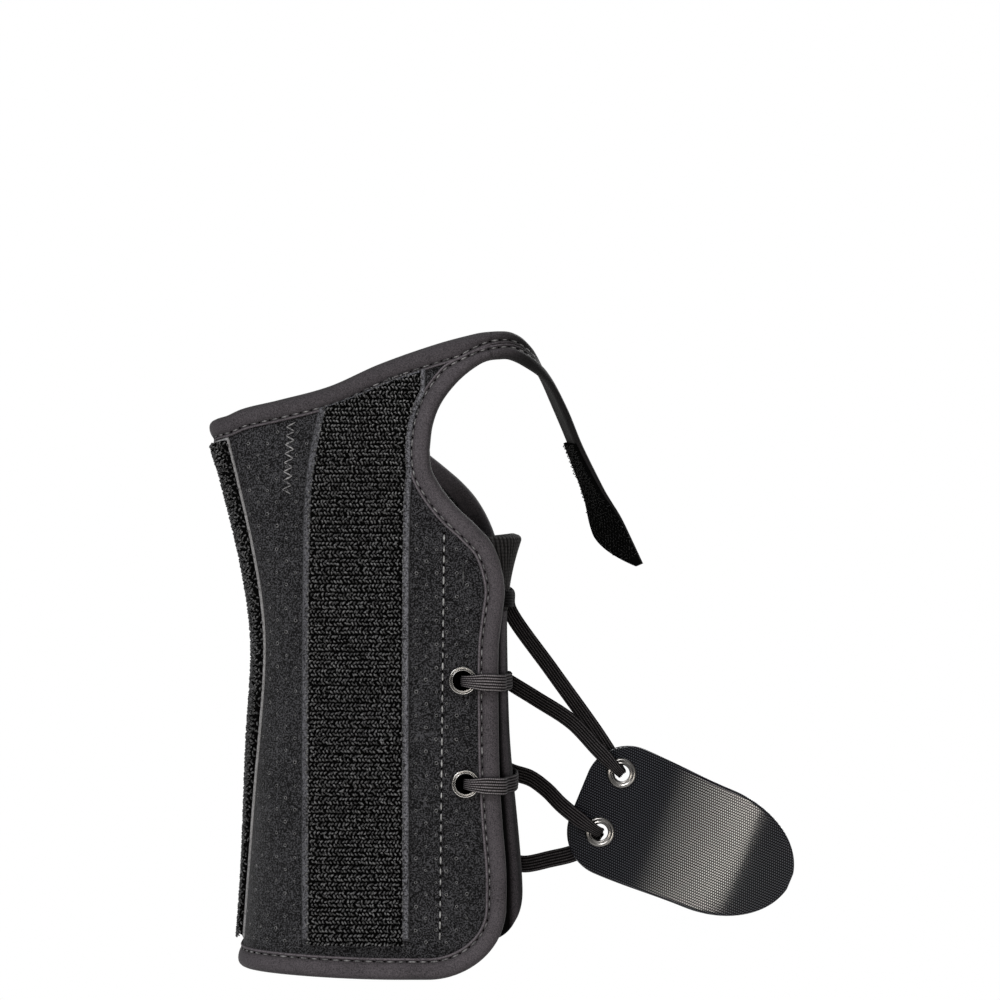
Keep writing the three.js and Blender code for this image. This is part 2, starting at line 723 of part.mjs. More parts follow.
const lean = (z) => along(STRIP_LEAN, "z", "shift", z);
const thumbEdge = [...patternCurve(thumbLower, 60), ...patternCurve(thumbUpper, 60)];
const besideThumb = (s, z) => {
  const limits = thumbEdge.map((p) => p.s - Math.sqrt(Math.max(0, THUMB_CLEAR ** 2 - (p.z - z) ** 2)));
  return Math.min(s, ...limits);
};
const palmEdge = (sign, width) => (z) => besideThumb(lean(z) + (sign * width) / 2, z);
const PALM_COLUMNS = 6;
const pocketPattern = stripPattern(
  palmEdge(-1, POCKET_WIDTH),
  palmEdge(1, POCKET_WIDTH),
  POCKET_FOOT_Z,
  STRIP_HEAD_GAP,
  PALM_COLUMNS,
);
add("stay_pocket", layer(pocketPattern, BACKING.inner, BACKING.outer), bindingCloth);
const palmPattern = stripPattern(
  palmEdge(-1, PALM_LOOP_WIDTH),
  palmEdge(1, PALM_LOOP_WIDTH),
  PALM_LOOP_FOOT_Z,
  PALM_LOOP_HEAD_GAP,
  PALM_COLUMNS,
);
add("palm_loop", layer(palmPattern, PILE.inner, PILE.outer), loopPile);
const ULNAR_COLUMNS = 7;
const ulnarEdge = (z) => roundAt(along(ULNAR_EDGE, "z", "x", z), "front", z);
const ulnarLeft = (z) => ulnarEdge(z) - ULNAR_WIDTH;
const ulnarPattern = (inset) =>
  stripPattern(
    (z) => ulnarLeft(z) + inset,
    (z) => ulnarEdge(z) - inset,
    ULNAR_FOOT_Z,
    STRIP_HEAD_GAP,
    ULNAR_COLUMNS,
  );
add("ulnar_backing", layer(ulnarPattern(0), BACKING.inner, BACKING.outer), bindingCloth);
add("ulnar_loop", layer(ulnarPattern(EDGING), PILE.inner, PILE.outer), loopPile);

// The tongue under the lacing, and its knitted cuff.
const backEdgeAhead = (z) => backEdge(z) + level(z).length;
const gapShare = (s, z) => {
  const gap = backEdgeAhead(z) - LACING_EDGE_S;
  return THREE.MathUtils.clamp((s - LACING_EDGE_S) / gap, 0, 1);
};

function tonguePattern(columns, rows, underlap, lowAt, highAt) {
  const made = [];
  for (let i = 0; i <= columns; i += 1) {
    const low = LACING_EDGE_S - underlap;
    const edgeAt = (z) => THREE.MathUtils.lerp(low, backEdgeAhead(z) + underlap, i / columns);
    const foot = lowAt(gapShare(edgeAt(-60), -60));
    const head = highAt(gapShare(edgeAt(0), 0));
    made.push(
      Array.from({ length: rows + 1 }, (_, j) => {
        const z = THREE.MathUtils.lerp(foot, head, j / rows);
        return { s: edgeAt(z), z };
      }),
    );
  }
  return new Pattern().grid(made);
}

const tongueFoot = (share) => {
  const rise = THREE.MathUtils.smoothstep(share, TONGUE_FOOT.from, TONGUE_FOOT.to);
  return THREE.MathUtils.lerp(TONGUE_FOOT.palm, TONGUE_FOOT.back, rise);
};
const tongueShape = tonguePattern(15, 8, TONGUE_UNDERLAP, tongueFoot, () => TONGUE_TOP_Z);
add("tongue", layer(tongueShape, TONGUE.inner, TONGUE.outer), bindingCloth);

const flareAt = ({ s, z }) => {
  const rise = THREE.MathUtils.clamp((z - CUFF.low) / (CUFF.high - CUFF.low), 0, 1);
  return CUFF.flare * rise ** 1.8 * Math.sin(gapShare(s, z) * Math.PI) ** 0.8;
};
const cuffOuter = (p) => TONGUE.outer + flareAt(p);
const cuffInner = (p) => TONGUE.inner + 0.5 * flareAt(p);
const cuffShape = tonguePattern(14, 5, CUFF.underlap, () => CUFF.low, () => CUFF.high);
add("tongue_cuff", layer(cuffShape, cuffInner, cuffOuter), knit);

// Eyelets.
function eyeletGeometry(shape, place, axis) {
  const profile = [
    [shape.hole, shape.top],
    [shape.hole, -shape.back],
    [shape.backRim - 0.4, -shape.back],
    [shape.backRim, -shape.backSeat],
    [shape.barrel, -shape.backSeat],
    [shape.barrel, shape.seat],
    [shape.rim, shape.seat],
    [shape.rim - 0.5, shape.top],
    [shape.hole, shape.top],
  ].map(([r, h]) => new THREE.Vector2(r, h));
  const geometry = new THREE.LatheGeometry(profile, EYELET_SIDES);
  geometry.applyQuaternion(new THREE.Quaternion().setFromUnitVectors(new THREE.Vector3(0, 1, 0), axis));
  return geometry.translate(place.x, place.y, place.z);
}
for (const { name, s, z } of eyeletPlaces) {
  add(name, eyeletGeometry(EYELET, at(s, z, 0), outwards(s, z)), nickel);
}

// Lace pieces: rings of a flat braid's section along a way.
const BRAID_SECTION = [
  [0.5, -0.3],
  [0.5, 0.3],
  [0.42, 0.5],
  [-0.42, 0.5],
  [-0.5, 0.3],
  [-0.5, -0.3],
  [-0.42, -0.5],
  [0.42, -0.5],
];
const laceWidth = (i, last, narrow) => {
  const inHole = narrow.some((end) => Math.abs(i - end * last) < 2.5);
  return inHole ? LACE.inHole : LACE.width;
};

// A crossing lies on the brace: its way is given round it (s) and outwards (t).
function crossingGeometry(way, zFrom, zTo, narrow) {
  const last = way.length - 1;
  const rings = way.map(([s, t], i) => {
    const a = way[Math.max(i - 1, 0)];
    const b = way[Math.min(i + 1, last)];
    const off = new THREE.Vector2(a[1] - b[1], b[0] - a[0]).normalize();
    const z = THREE.MathUtils.lerp(zFrom, zTo, THREE.MathUtils.smoothstep(i / last, 0.3, 0.8));
    return BRAID_SECTION.map(([w, h]) => {
      const lift = h * LACE.thickness;
      return at(s + off.x * lift, z + w * laceWidth(i, last, narrow), t + off.y * lift);
    });
  });
  return ringsGeometry(rings);
}

const upBackEyelet = (z) => {
  const middle = backEdgeAhead(z) + BACK_EYELET_INSET;
  return [
    [middle - 8, LACE_UNDER],
    [middle - 4.5, LACE_UNDER],
    [middle - 1.4, LACE_UNDER],
    [middle - 0.4, LACE_UNDER + 1.0],
    [middle - 0.2, LACE_UNDER + 2.2],
    [middle - 0.2, LACE_UNDER + 3.2],
  ];
};
const acrossTongue = (zMid, shares, lift) => {
  const from = LACING_EDGE_S;
  const to = backEdgeAhead(zMid);
  return shares.map((share) => {
    const s = THREE.MathUtils.lerp(from, to, share);
    return [s, LACE_UNDER + lift(s)];
  });
};
PALM_EYELETS.forEach(({ x, z }, i) => {
  const s = roundAt(x, "front", z);
  const edge = LACING_EDGE_S;
  const zTo = BACK_EYELETS[i + 1].z;
  const way = [
    [s + 0.2, -0.6],
    [s + 0.3, 1.4],
    [s + 0.5, 3.1],
    [s + 1.7, 4.3],
    [s + 4.8, 4.3],
    [s + 7.4, 3.7],
    [edge - 2.5, LACE_OVER],
    [edge + 0.9, LACE_OVER],
    [edge + 2.7, 2.3],
    [edge + 4.6, -0.5],
    [edge + 7, -2.7],
    ...acrossTongue(z, [0.3, 0.45, 0.6, 0.75, 0.9], () => 0),
    ...upBackEyelet(zTo),
  ];
  add("lace_crossing_" + (i + 2), crossingGeometry(way, z, zTo, [0, 1]), braid);
});
const topWay = [
  [LACING_EDGE_S - 9, LACE_UNDER],
  [LACING_EDGE_S - 3, LACE_UNDER],
  ...acrossTongue(
    TOP_CROSSING_Z,
    [0.02, 0.1, 0.2, 0.35, 0.5, 0.65, 0.8, 0.9, 0.98],
    (s) => 0.2 + flareAt({ s, z: TOP_CROSSING_Z + LACE.width / 2 }),
  ),
  ...upBackEyelet(BACK_EYELETS[0].z),
];
add("lace_crossing_1", crossingGeometry(topWay, TOP_CROSSING_Z, BACK_EYELETS[0].z, [1]), braid);

// A free strand: out of its back eyelet, over the back edge, then its own way to the tab.
function ribbonGeometry(points, firstFace) {
  const last = points.length - 1;
  const curve = points.map((p) => new THREE.Vector3(...p));
  const tangents = curve.map((p, i) => {
    const ahead = curve[Math.min(i + 1, last)].clone();
    return ahead.sub(curve[Math.max(i - 1, 0)]).normalize();
  });
  let face = firstFace.clone();
  const rings = curve.map((p, i) => {
    face.addScaledVector(tangents[i], -face.dot(tangents[i])).normalize();
    const across = tangents[i].clone().cross(face);
    const width = laceWidth(i, last, [0, 1]);
    return BRAID_SECTION.map(([w, h]) =>
      p.clone().addScaledVector(across, -w * width).addScaledVector(face, h * LACE.thickness),
    );
  });
  return ringsGeometry(rings);
}
STRANDS.forEach(({ name, drop, way }, i) => {
  const { z } = BACK_EYELETS[i];
  const s = backEdge(z) + BACK_EYELET_INSET;
  const start = [
    at(s - 0.1, z, 1.0),
    at(s - 0.4, z, 2.9),
    at(s - 1.6, z + drop * 0.1, 4.5),
    at(s - 4.8, z + drop * 0.35, 4.8),
    at(s - 9, z + drop * 0.7, 4.5),
    at(s - BACK_EYELET_INSET - 1, z + drop, LACE_OVER + 1),
  ];
  const firstFace = at(s - 1, z, 0).sub(at(s, z, 0)).normalize();
  add(name, ribbonGeometry([...start.map((p) => p.toArray()), ...way], firstFace), braid);
});

// Pull tab.
const tabSlope = THREE.MathUtils.degToRad(TAB.slope);
const tabU = new THREE.Vector3(Math.cos(tabSlope), 0, -Math.sin(tabSlope));
const tabV = new THREE.Vector3(Math.sin(tabSlope), 0, Math.cos(tabSlope));
const tabFace = new THREE.Vector3(0, -1, 0);
const tabBow = (u) => TAB.bow * (1 - ((u - TAB.length / 2) / TAB.bowHalfLength) ** 2);
function tabAt(u, v, w) {
  const tilt = (-2 * TAB.bow * (u - TAB.length / 2)) / TAB.bowHalfLength ** 2;
  const normal = tabFace.clone().addScaledVector(tabU, -tilt).normalize();
  return new THREE.Vector3(...TAB.origin)
    .addScaledVector(tabU, u)
    .addScaledVector(tabV, v)
    .addScaledVector(tabFace, tabBow(u))
    .addScaledVector(normal, w);
}
function tabHalfWidth(u) {
  const straight = TAB.length - TAB.tail;
  if (u > straight) return TAB.tailHalfWidth * Math.sqrt(1 - ((u - straight) / (TAB.tail + 0.25)) ** 2);
  const taper = THREE.MathUtils.smoothstep(u, TAB.corner, straight);
  const side = THREE.MathUtils.lerp(TAB.halfWidth, TAB.tailHalfWidth, taper);
  return side - corner(u, TAB.corner);
}
function tabGeometry() {
  const us = [];
  for (let i = 0; i < 6; i += 1) us.push(TAB.corner * (1 - Math.cos((i / 6) * (Math.PI / 2))));
  const straight = TAB.length - TAB.tail;
  for (let i = 0; i < 5; i += 1) us.push(THREE.MathUtils.lerp(TAB.corner, straight, i / 5));
  for (let i = 0; i <= 9; i += 1) us.push(straight + TAB.tail * Math.sin((i / 9) * (Math.PI / 2)));
  const rows = [-1, 0, 1];
  const pattern = new Pattern().grid(us.map((u) => rows.map((row) => ({ s: u, z: row * tabHalfWidth(u) }))));
  const half = TAB.thickness / 2;
  let solid = solidOf(
    wallGeometry(
      pattern.points.map(({ s, z }) => tabAt(s, z, half)),
      pattern.points.map(({ s, z }) => tabAt(s, z, -half)),
      pattern.cells,
    ),
  );
  for (const { u, v } of TAB_EYELETS) {
    const axis = tabAt(u, v, 1).sub(tabAt(u, v, 0));
    solid = solid.subtract(holeCutter(tabAt(u, v, 0), axis, TAB_EYELET.barrel + GAP + 0.1, 12));
  }
  return geometryOf(solid);
}
add("pull_tab", tabGeometry(), webbing);
for (const { name, u, v } of TAB_EYELETS) {
  const axis = tabAt(u, v, 1).sub(tabAt(u, v, 0)).normalize();
  add(name, eyeletGeometry(TAB_EYELET, tabAt(u, v, 0), axis), nickel);
}

// Web strap and the hook patch on its inner face.
const strapPoints = STRAP.map(({ x, y, z }) => new THREE.Vector3(x, y, z));
const strapLine = new THREE.CatmullRomCurve3(strapPoints, false, "centripetal");
function strapStation(share) {
  const place = strapLine.getPoint(share);
  const run = strapLine.getTangent(share);
  const rows = STRAP.map((row, i) => ({ ...row, share: i / (STRAP.length - 1) }));
  const read = (name) => along(rows, "share", name, share);
  const look = new THREE.Vector3(read("lookX"), read("lookY"), read("lookZ"));
  look.addScaledVector(run, -look.dot(run)).normalize();
  const togo = (1 - share) * strapLine.getLength();
  const half = read("width") / 2;
  const slanted = Math.max(0, 1 - togo / STRAP_END_SLANT) ** STRAP_END_CURVE;
  const cut = slanted * (2 * half - STRAP_TIP);
  return { place, look, up: look.clone().cross(run), low: -half, high: half - cut };
}
function strapGeometry(from, inner, outer, margin) {
  const pattern = new Pattern();
  const shares = [];
  for (let i = 0; i <= STRAP_STATIONS * (1 - from); i += 1) shares.push(from + i / STRAP_STATIONS);
  const end = 1 - margin / strapLine.getLength();
  const slant = STRAP_END_SLANT / strapLine.getLength();
  const body = shares.filter((share) => share < 1 - slant - 0.02);
  const stations = [...body, 1 - slant, 1 - slant * 0.6, 1 - slant * 0.3, end];
  pattern.grid(stations.map((share) => [-1, -0.33, 0.33, 1].map((row) => ({ s: share, z: row }))));
  const lay = (depth) =>
    pattern.points.map(({ s, z }) => {
      const { place, look, up, low, high } = strapStation(s);
      const across = THREE.MathUtils.lerp(low + margin, high - margin, (z + 1) / 2);
      return place.clone().addScaledVector(up, across).addScaledVector(look, depth);
    });
  return wallGeometry(lay(outer), lay(inner), pattern.cells);
}
const strapHalf = STRAP_THICKNESS / 2;
add("web_strap", strapGeometry(0, -strapHalf, strapHalf, 0), bindingCloth);
const hookOuter = -strapHalf - GAP;
add("strap_hook", strapGeometry(HOOK.from, hookOuter - HOOK.thickness, hookOuter, HOOK.margin), loopPile);

export default brace;
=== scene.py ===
import math
import bpy
import numpy as np
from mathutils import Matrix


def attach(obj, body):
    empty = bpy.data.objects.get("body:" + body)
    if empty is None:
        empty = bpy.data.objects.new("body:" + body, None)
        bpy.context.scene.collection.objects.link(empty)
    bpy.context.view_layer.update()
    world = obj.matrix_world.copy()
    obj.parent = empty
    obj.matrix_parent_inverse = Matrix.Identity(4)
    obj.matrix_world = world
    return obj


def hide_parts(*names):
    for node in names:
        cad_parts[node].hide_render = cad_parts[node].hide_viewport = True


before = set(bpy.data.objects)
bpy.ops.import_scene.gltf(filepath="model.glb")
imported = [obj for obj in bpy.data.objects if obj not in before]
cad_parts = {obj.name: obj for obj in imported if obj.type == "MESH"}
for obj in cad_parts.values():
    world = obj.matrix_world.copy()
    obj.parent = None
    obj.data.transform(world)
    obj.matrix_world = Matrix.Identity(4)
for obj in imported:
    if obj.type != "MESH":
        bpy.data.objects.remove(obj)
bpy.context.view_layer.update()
scene = bpy.context.scene
mm = 0.001
quarter = math.pi / 2
print("frame loaded")

# camera, square on to the front
cameraSet = {"x": 38.0, "z": 32.5, "away": 1100.0, "across": 325.0, "sensor": 36.0, "clip": (0.05, 30.0)}
eye = bpy.data.cameras.new("photoCamera")
eye.sensor_width = cameraSet["sensor"]
eye.lens = eye.sensor_width * cameraSet["away"] / cameraSet["across"]
eye.clip_start, eye.clip_end = cameraSet["clip"]
photoCamera = bpy.data.objects.new("photoCamera", eye)
photoCamera.location = (cameraSet["x"] * mm, -cameraSet["away"] * mm, cameraSet["z"] * mm)
photoCamera.rotation_euler = (quarter, 0.0, 0.0)
scene.collection.objects.link(photoCamera)
scene.camera = photoCamera


# small maths
def hermite(t, a, slopeA, b, slopeB):
    return ((2 * t**3 - 3 * t**2 + 1) * a + (t**3 - 2 * t**2 + t) * slopeA
            + (3 * t**2 - 2 * t**3) * b + (t**3 - t**2) * slopeB)


def smoothRead(keys, values, at):
    xs, ys, at = (np.asarray(a, float) for a in (keys, values, at))
    if xs[0] > xs[-1]:
        xs, ys = xs[::-1], ys[::-1]
    slope = np.empty_like(ys)
    slope[1:-1] = (ys[2:] - ys[:-2]) / (xs[2:] - xs[:-2])
    slope[0] = (ys[1] - ys[0]) / (xs[1] - xs[0])
    slope[-1] = (ys[-1] - ys[-2]) / (xs[-1] - xs[-2])
    i = np.clip(np.searchsorted(xs, at) - 1, 0, len(xs) - 2)
    span = xs[i + 1] - xs[i]
    t = np.clip((at - xs[i]) / span, 0, 1)
    return hermite(t, ys[i], span * slope[i], ys[i + 1], span * slope[i + 1])


def smoothStep(low, high, at):
    t = np.clip((np.asarray(at, float) - low) / (high - low), 0, 1)
    return t * t * (3 - 2 * t)


def throughPoints(points, count):
    p = np.asarray(points, float)
    last = len(p) - 1
    p = np.vstack([2 * p[0] - p[1], p, 2 * p[-1] - p[-2]])
    made = []
    for at in np.linspace(0, last, count):
        k = min(int(at), last - 1)
        a, b, c, d = p[k:k + 4]
        ab, bc, cd = (max(np.linalg.norm(q), 1e-6) ** 0.5 for q in (b - a, c - b, d - c))
        m1 = ((b - a) / ab - (c - a) / (ab + bc) + (c - b) / bc) * bc
        m2 = ((c - b) / bc - (d - b) / (bc + cd) + (d - c) / cd) * bc
        made.append(hermite(at - k, b, m1, c, m2))
    return np.array(made)


def reachAlong(line):
    return np.r_[0, np.cumsum(np.linalg.norm(np.diff(line, axis=0), axis=1))]


def readAlong(reach, values, at):
    return np.stack([np.interp(at, reach, column) for column in values.T], -1)


def evenSteps(points, step):
    moved = np.r_[True, np.linalg.norm(np.diff(points, axis=0), axis=1) > 1e-5]
    line = points[moved]
    reach = reachAlong(line)
    count = max(2, int(round(reach[-1] / step)) + 1)
    return readAlong(reach, line, np.linspace(0, reach[-1], count))


def unit(v):
    return v / np.maximum(np.linalg.norm(v, axis=-1, keepdims=True), 1e-12)


def rounded(inset, radius, least=0.0):
    return np.sqrt(1 - (1 - np.clip(inset / radius, least, 1)) ** 2)


# the brace's form: s round it from the front's centre line, z up it, t outwards, all in mm
# squareness is given for (front, right)
form = {
    "z": [-119, -88, -45, -14, 10, 39, 56, 88],
    "left": [-44.6, -42.3, -40.6, -39.1, -42.2, -49.5, -54.5, -57.5],
    "right": [50.4, 49.6, 45.8, 44.8, 45.1, 46.2, 47.0, 48.0],
    "front": [-33.0, -31.5, -29.0, -27.0, -24.8, -18.5, -14.0, -6.0],
    "back": [31.0, 29.5, 27.0, 25.5, 25.0, 26.2, 28.0, 32.0],
    "squareness": {(True, True): 4.0, (True, False): 3.0, (False, False): 2.4, (False, True): 2.6},
    "centreX": -7.5, "samples": 720, "probe": 0.4,
    "gridZ": (-142.0, 108.0, 1.0), "gridS": (-200.0, 150.0, 0.5),
}
gridZ, gridS = np.arange(*form["gridZ"]), np.arange(*form["gridS"])


def ringAt(z):
    sides = ("left", "right", "front", "back")
    left, right, front, back = (float(smoothRead(form["z"], form[k], z)) for k in sides)
    angle = np.arange(form["samples"] + 1) / form["samples"] * 2 * math.pi - quarter
    c, s = np.cos(angle), np.sin(angle)
    power = np.array([2 / form["squareness"][(bool(b < 0), bool(a > 0))] for a, b in zip(c, s)])
    x = (left + right) / 2 + (right - left) / 2 * np.sign(c) * np.abs(c) ** power
    y = (front + back) / 2 + (back - front) / 2 * np.sign(s) * np.abs(s) ** power
    ring = np.stack([x, y], -1)
    ring[-1] = ring[0]
    return ring, reachAlong(ring)


def arcAtX(ring, reach, x, front):
    middle = (ring[0, 1] + ring[form["samples"] // 2, 1]) / 2
    a, b = ring[:-1], ring[1:]
    side = ((a[:, 1] + b[:, 1]) / 2 < middle) == front
    hit = np.where(side & ((a[:, 0] - x) * (b[:, 0] - x) <= 0) & (a[:, 0] != b[:, 0]))[0][0]
    arc = reach[hit] + (x - a[hit, 0]) / (b[hit, 0] - a[hit, 0]) * (reach[hit + 1] - reach[hit])
    return arc - reach[-1] if front and arc > reach[-1] / 2 else arc


def roundAt(x, front, z):
    ring, reach = ringAt(z)
    return arcAtX(ring, reach, x, front) - arcAtX(ring, reach, form["centreX"], True)


def makeForm():
    table = np.empty((len(gridZ), len(gridS), 4))
    lengths = np.empty(len(gridZ))
    for k, z in enumerate(gridZ):
        ring, reach = ringAt(z)
        run = unit(np.roll(ring[:-1], -1, 0) - np.roll(ring[:-1], 1, 0))
        run = np.vstack([run, run[:1]])
        arc = (gridS + arcAtX(ring, reach, form["centreX"], True)) % reach[-1]
        lengths[k] = reach[-1]
        table[k] = readAlong(reach, np.column_stack([ring, run[:, 1], -run[:, 0]]), arc)
    return table, lengths


formTable, formLengths = makeForm()


def gridPlace(at, grid):
    place = np.clip((at - grid[0]) / (grid[1] - grid[0]), 0, len(grid) - 1.001)  # stays inside the last cell
    whole = place.astype(int)
    return whole, (place - whole)[..., None]


# a place on the form, in metres
def surf(s, z, t):
    s, z, t = np.broadcast_arrays(*(np.asarray(a, float) for a in (s, z, t)))
    i, u = gridPlace(s, gridS)
    j, v = gridPlace(z, gridZ)
    row = ((1 - v) * ((1 - u) * formTable[j, i] + u * formTable[j, i + 1])
           + v * ((1 - u) * formTable[j + 1, i] + u * formTable[j + 1, i + 1]))
    out = unit(row[..., 2:])
    return np.concatenate([row[..., :2] + out * t[..., None], z[..., None]], -1) * mm


def runsAt(s, z, t=0.0):
    d = form["probe"]
    return surf(s + d, z, t) - surf(s - d, z, t), surf(s, z + d, t) - surf(s, z - d, t)


def facing(s, z):
    return unit(np.cross(*runsAt(s, z)))


# the wrap's cut edges, as (x, z) on the front, or (x, whether on the front, z)
cut = {
    "hem": -117.4, "hemRise": (1.5, 0.04, 0.34), "palmCorner": 21.0, "backCorner": 10.0, "backEdgeX": 36.0,
    "top": [(34.5, True, 86.0), (18.8, True, 81.8), (-0.4, True, 75.0), (-16.4, True, 67.8),
            (-33.0, True, 63.3), (-44.3, True, 60.7), (-50.5, True, 58.2), (-50.5, False, 55.6),
            (-28.0, False, 59.0), (0.0, False, 55.0), (22.0, False, 40.0), (36.0, False, 24.0)],
    "thumbLower": [(36.1, 0.5), (35.7, 8.5), (34.9, 14.2), (33.2, 19.0), (29.0, 24.0), (24.1, 28.5),
                   (19.1, 34.4), (14.9, 41.8), (14.1, 48.5)],
    "thumbUpper": [(14.1, 48.5), (15.1, 56.8), (17.7, 63.9), (22.8, 70.9), (28.0, 75.6), (33.2, 79.0)],
    "bridgeZ": 80.0, "middleZ": -60.0,
    "swellZ": [-118, -100, -85, -70, -55, -40, -15, -4, 4, 12, 22],
    "swell": [1.5, 2.3, 2.4, 1.2, 0.3, 0.0, 0.0, 1.2, 2.2, 1.4, 0.0],
    "swellReach": 22.0,
}
thumbLower = np.array([(roundAt(x, True, z), z) for x, z in cut["thumbLower"]])[::-1]
thumbUpper = np.array([(roundAt(x, True, z), z) for x, z in cut["thumbUpper"]])
notchS, notchZ = thumbUpper[0]
lacingEdgeS, lacingTopZ = thumbLower[-1]
backEdges = np.array([roundAt(cut["backEdgeX"], False, z) for z in gridZ]) - formLengths


def roundLength(z):
    return np.interp(z, gridZ, formLengths)


def backEdge(z):
    return np.interp(z, gridZ, backEdges)


def backEdgeAhead(z):
    return backEdge(z) + roundLength(z)


def wrapAt(share, z):
    return notchS + share * (backEdge(z) - notchS)


def shareAt(s, z):
    return (s - notchS) / (backEdge(z) - notchS)


def cornerRise(inset, radius):
    d = np.clip(inset, 0, radius)
    return radius - np.sqrt(radius**2 - (radius - d) ** 2)


def backCornerRise(share):
    return cornerRise((1 - share) * (notchS - backEdge(cut["hem"])), cut["backCorner"])


def topZ(share):
    return smoothRead(topRows[:, 0], topRows[:, 1], share) - backCornerRise(share)


def bridgeTopZ(s):
    return topZ(shareAt(s, cut["bridgeZ"]))


def hemZ(share):
    rise, start, end = cut["hemRise"]
    return cut["hem"] + rise * smoothStep(start, end, share) + backCornerRise(share)


def flapHemZ(s):
    return cut["hem"] + cornerRise(lacingEdgeS - s, cut["palmCorner"])


# the flap bulges past its straight edge
def swell(s, z):
    near = smoothStep(lacingEdgeS - cut["swellReach"], lacingEdgeS, s)
    return s + smoothRead(cut["swellZ"], cut["swell"], z) * near


topRows = np.array([(shareAt(roundAt(x, front, z) - (0 if front else roundLength(z)), z), z)
                    for x, front, z in cut["top"]])

# eyelets in the wrap
eyeletSet = {"palm": [(25.9, -24.8), (26.8, -57.3)], "backZ": [6.5, -25.5, -56.0, -86.5], "backIn": 12.6}
eyeletSpots = {f"palm_eyelet_{k}": (roundAt(x, True, z), z) for k, (x, z) in enumerate(eyeletSet["palm"], 1)}
eyeletSpots |= {f"back_eyelet_{k}": (float(backEdge(z)) + eyeletSet["backIn"], z)
                for k, z in enumerate(eyeletSet["backZ"], 1)}
print("form ready")


# meshes
def makePiece(name, points, faces, material, uv=None, shade=None):
    mesh = bpy.data.meshes.new(name)
    mesh.from_pydata(np.asarray(points).tolist(), [], [tuple(int(i) for i in f) for f in faces])
    if uv is not None:
        layer = mesh.uv_layers.new(name="pattern")
        corner = np.empty(len(mesh.loops), int)
        mesh.loops.foreach_get("vertex_index", corner)
        layer.data.foreach_set("uv", np.asarray(uv, np.float32)[corner].ravel())
    mesh.materials.append(material)
    # shade is a per-vertex colour scale that carries painted shade and painted highlight
    if shade is not None:
        tones = mesh.attributes.new("shade", "FLOAT", "POINT")
        tones.data.foreach_set("value", np.asarray(shade, np.float32).ravel())
    mesh.shade_smooth()
    mesh.validate()
    piece = bpy.data.objects.new(name, mesh)
    scene.collection.objects.link(piece)
    return piece


def gridIds(shape):
    return np.arange(shape[0] * shape[1]).reshape(shape[:2])


def gridCells(ids):
    a, b, c, d = ids[:-1, :-1], ids[1:, :-1], ids[1:, 1:], ids[:-1, 1:]
    return np.stack([a, b, c, d], -1).reshape(-1, 4)


# cells left when round holes are taken out
def clearOf(spots, radius, cells, a, b):
    midA, midB = a.ravel()[cells].mean(1), b.ravel()[cells].mean(1)
    return cells[np.all([np.hypot(midA - x, midB - y) > radius for x, y in spots], 0)]


# two faces joined round every free edge, with the grid point that each vertex came from
def closedWall(outer, inner, cells):
    count = len(outer)
    ends = np.stack([cells, np.roll(cells, -1, 1)], -1).reshape(-1, 2)
    code = ends[:, 0].astype(np.int64) * count + ends[:, 1]
    back = ends[:, 1].astype(np.int64) * count + ends[:, 0]
    free = ends[~np.isin(code, back)]
    sides = np.stack([free[:, 1], free[:, 0], free[:, 0] + count, free[:, 1] + count], -1)
    used = np.unique(np.concatenate([cells, cells + count, sides]))
    slot = np.full(count * 2, -1)
    slot[used] = np.arange(len(used))
    faces = slot[np.concatenate([cells, cells[:, ::-1] + count, sides])]
    return np.concatenate([outer, inner])[used], faces, used % count


def wallPiece(name, outer, inner, material, pattern=None, shade=None, cells=None):
    if cells is None:
        cells = gridCells(gridIds(outer.shape))
    points, faces, source = closedWall(outer.reshape(-1, 3), inner.reshape(-1, 3), cells)
    uv = None if pattern is None else np.stack(np.broadcast_arrays(*pattern), -1).reshape(-1, 2)[source]
    tones = None if shade is None else shade.ravel()[source]
    return makePiece(name, points, faces, material, uv, tones)


# a capped tube
def ringFaces(rings, sides, flipped):
    ids = gridIds((rings, sides))
    nextSide = np.roll(ids, -1, 1)
    faces = np.stack([ids[:-1], nextSide[:-1], nextSide[1:], ids[1:]], -1).reshape(-1, 4).tolist()
    faces += [ids[0, ::-1].tolist(), ids[-1].tolist()]
    return [f[::-1] for f in faces] if flipped else faces


def declare(piece, slot, *nodes):
    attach(piece, "root")
    if nodes:
        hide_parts(*nodes)


# materials
def links(tree, *pairs):
    for a, b in pairs:
        tree.links.new(a, b)


def node(tree, kind, inputs=None, **values):
    made = tree.nodes.new(kind)
    for key, value in values.items():
        setattr(made, key, value)
    for key, value in (inputs or {}).items():
        made.inputs[key].default_value = value
    return made


def mathNode(tree, operation, a, b=None):
    made = node(tree, "ShaderNodeMath", operation=operation)
    for k, value in enumerate((a, b)):
        if isinstance(value, (int, float)):
            made.inputs[k].default_value = value
        elif value is not None:
            tree.links.new(value, made.inputs[k])
    return made.outputs[0]


def shaderGroup(name, place, values):
    tree = bpy.data.node_groups.new(name, "ShaderNodeTree")
    tree.interface.new_socket(place, in_out="INPUT", socket_type="NodeSocketVector")
    for label, value in values.items():
        tree.interface.new_socket(label, in_out="INPUT", socket_type="NodeSocketFloat").default_value = value
    for label in ("Tone", "Height"):
        tree.interface.new_socket(label, in_out="OUTPUT", socket_type="NodeSocketFloat")
    return tree, tree.nodes.new("NodeGroupInput").outputs, tree.nodes.new("NodeGroupOutput").inputs


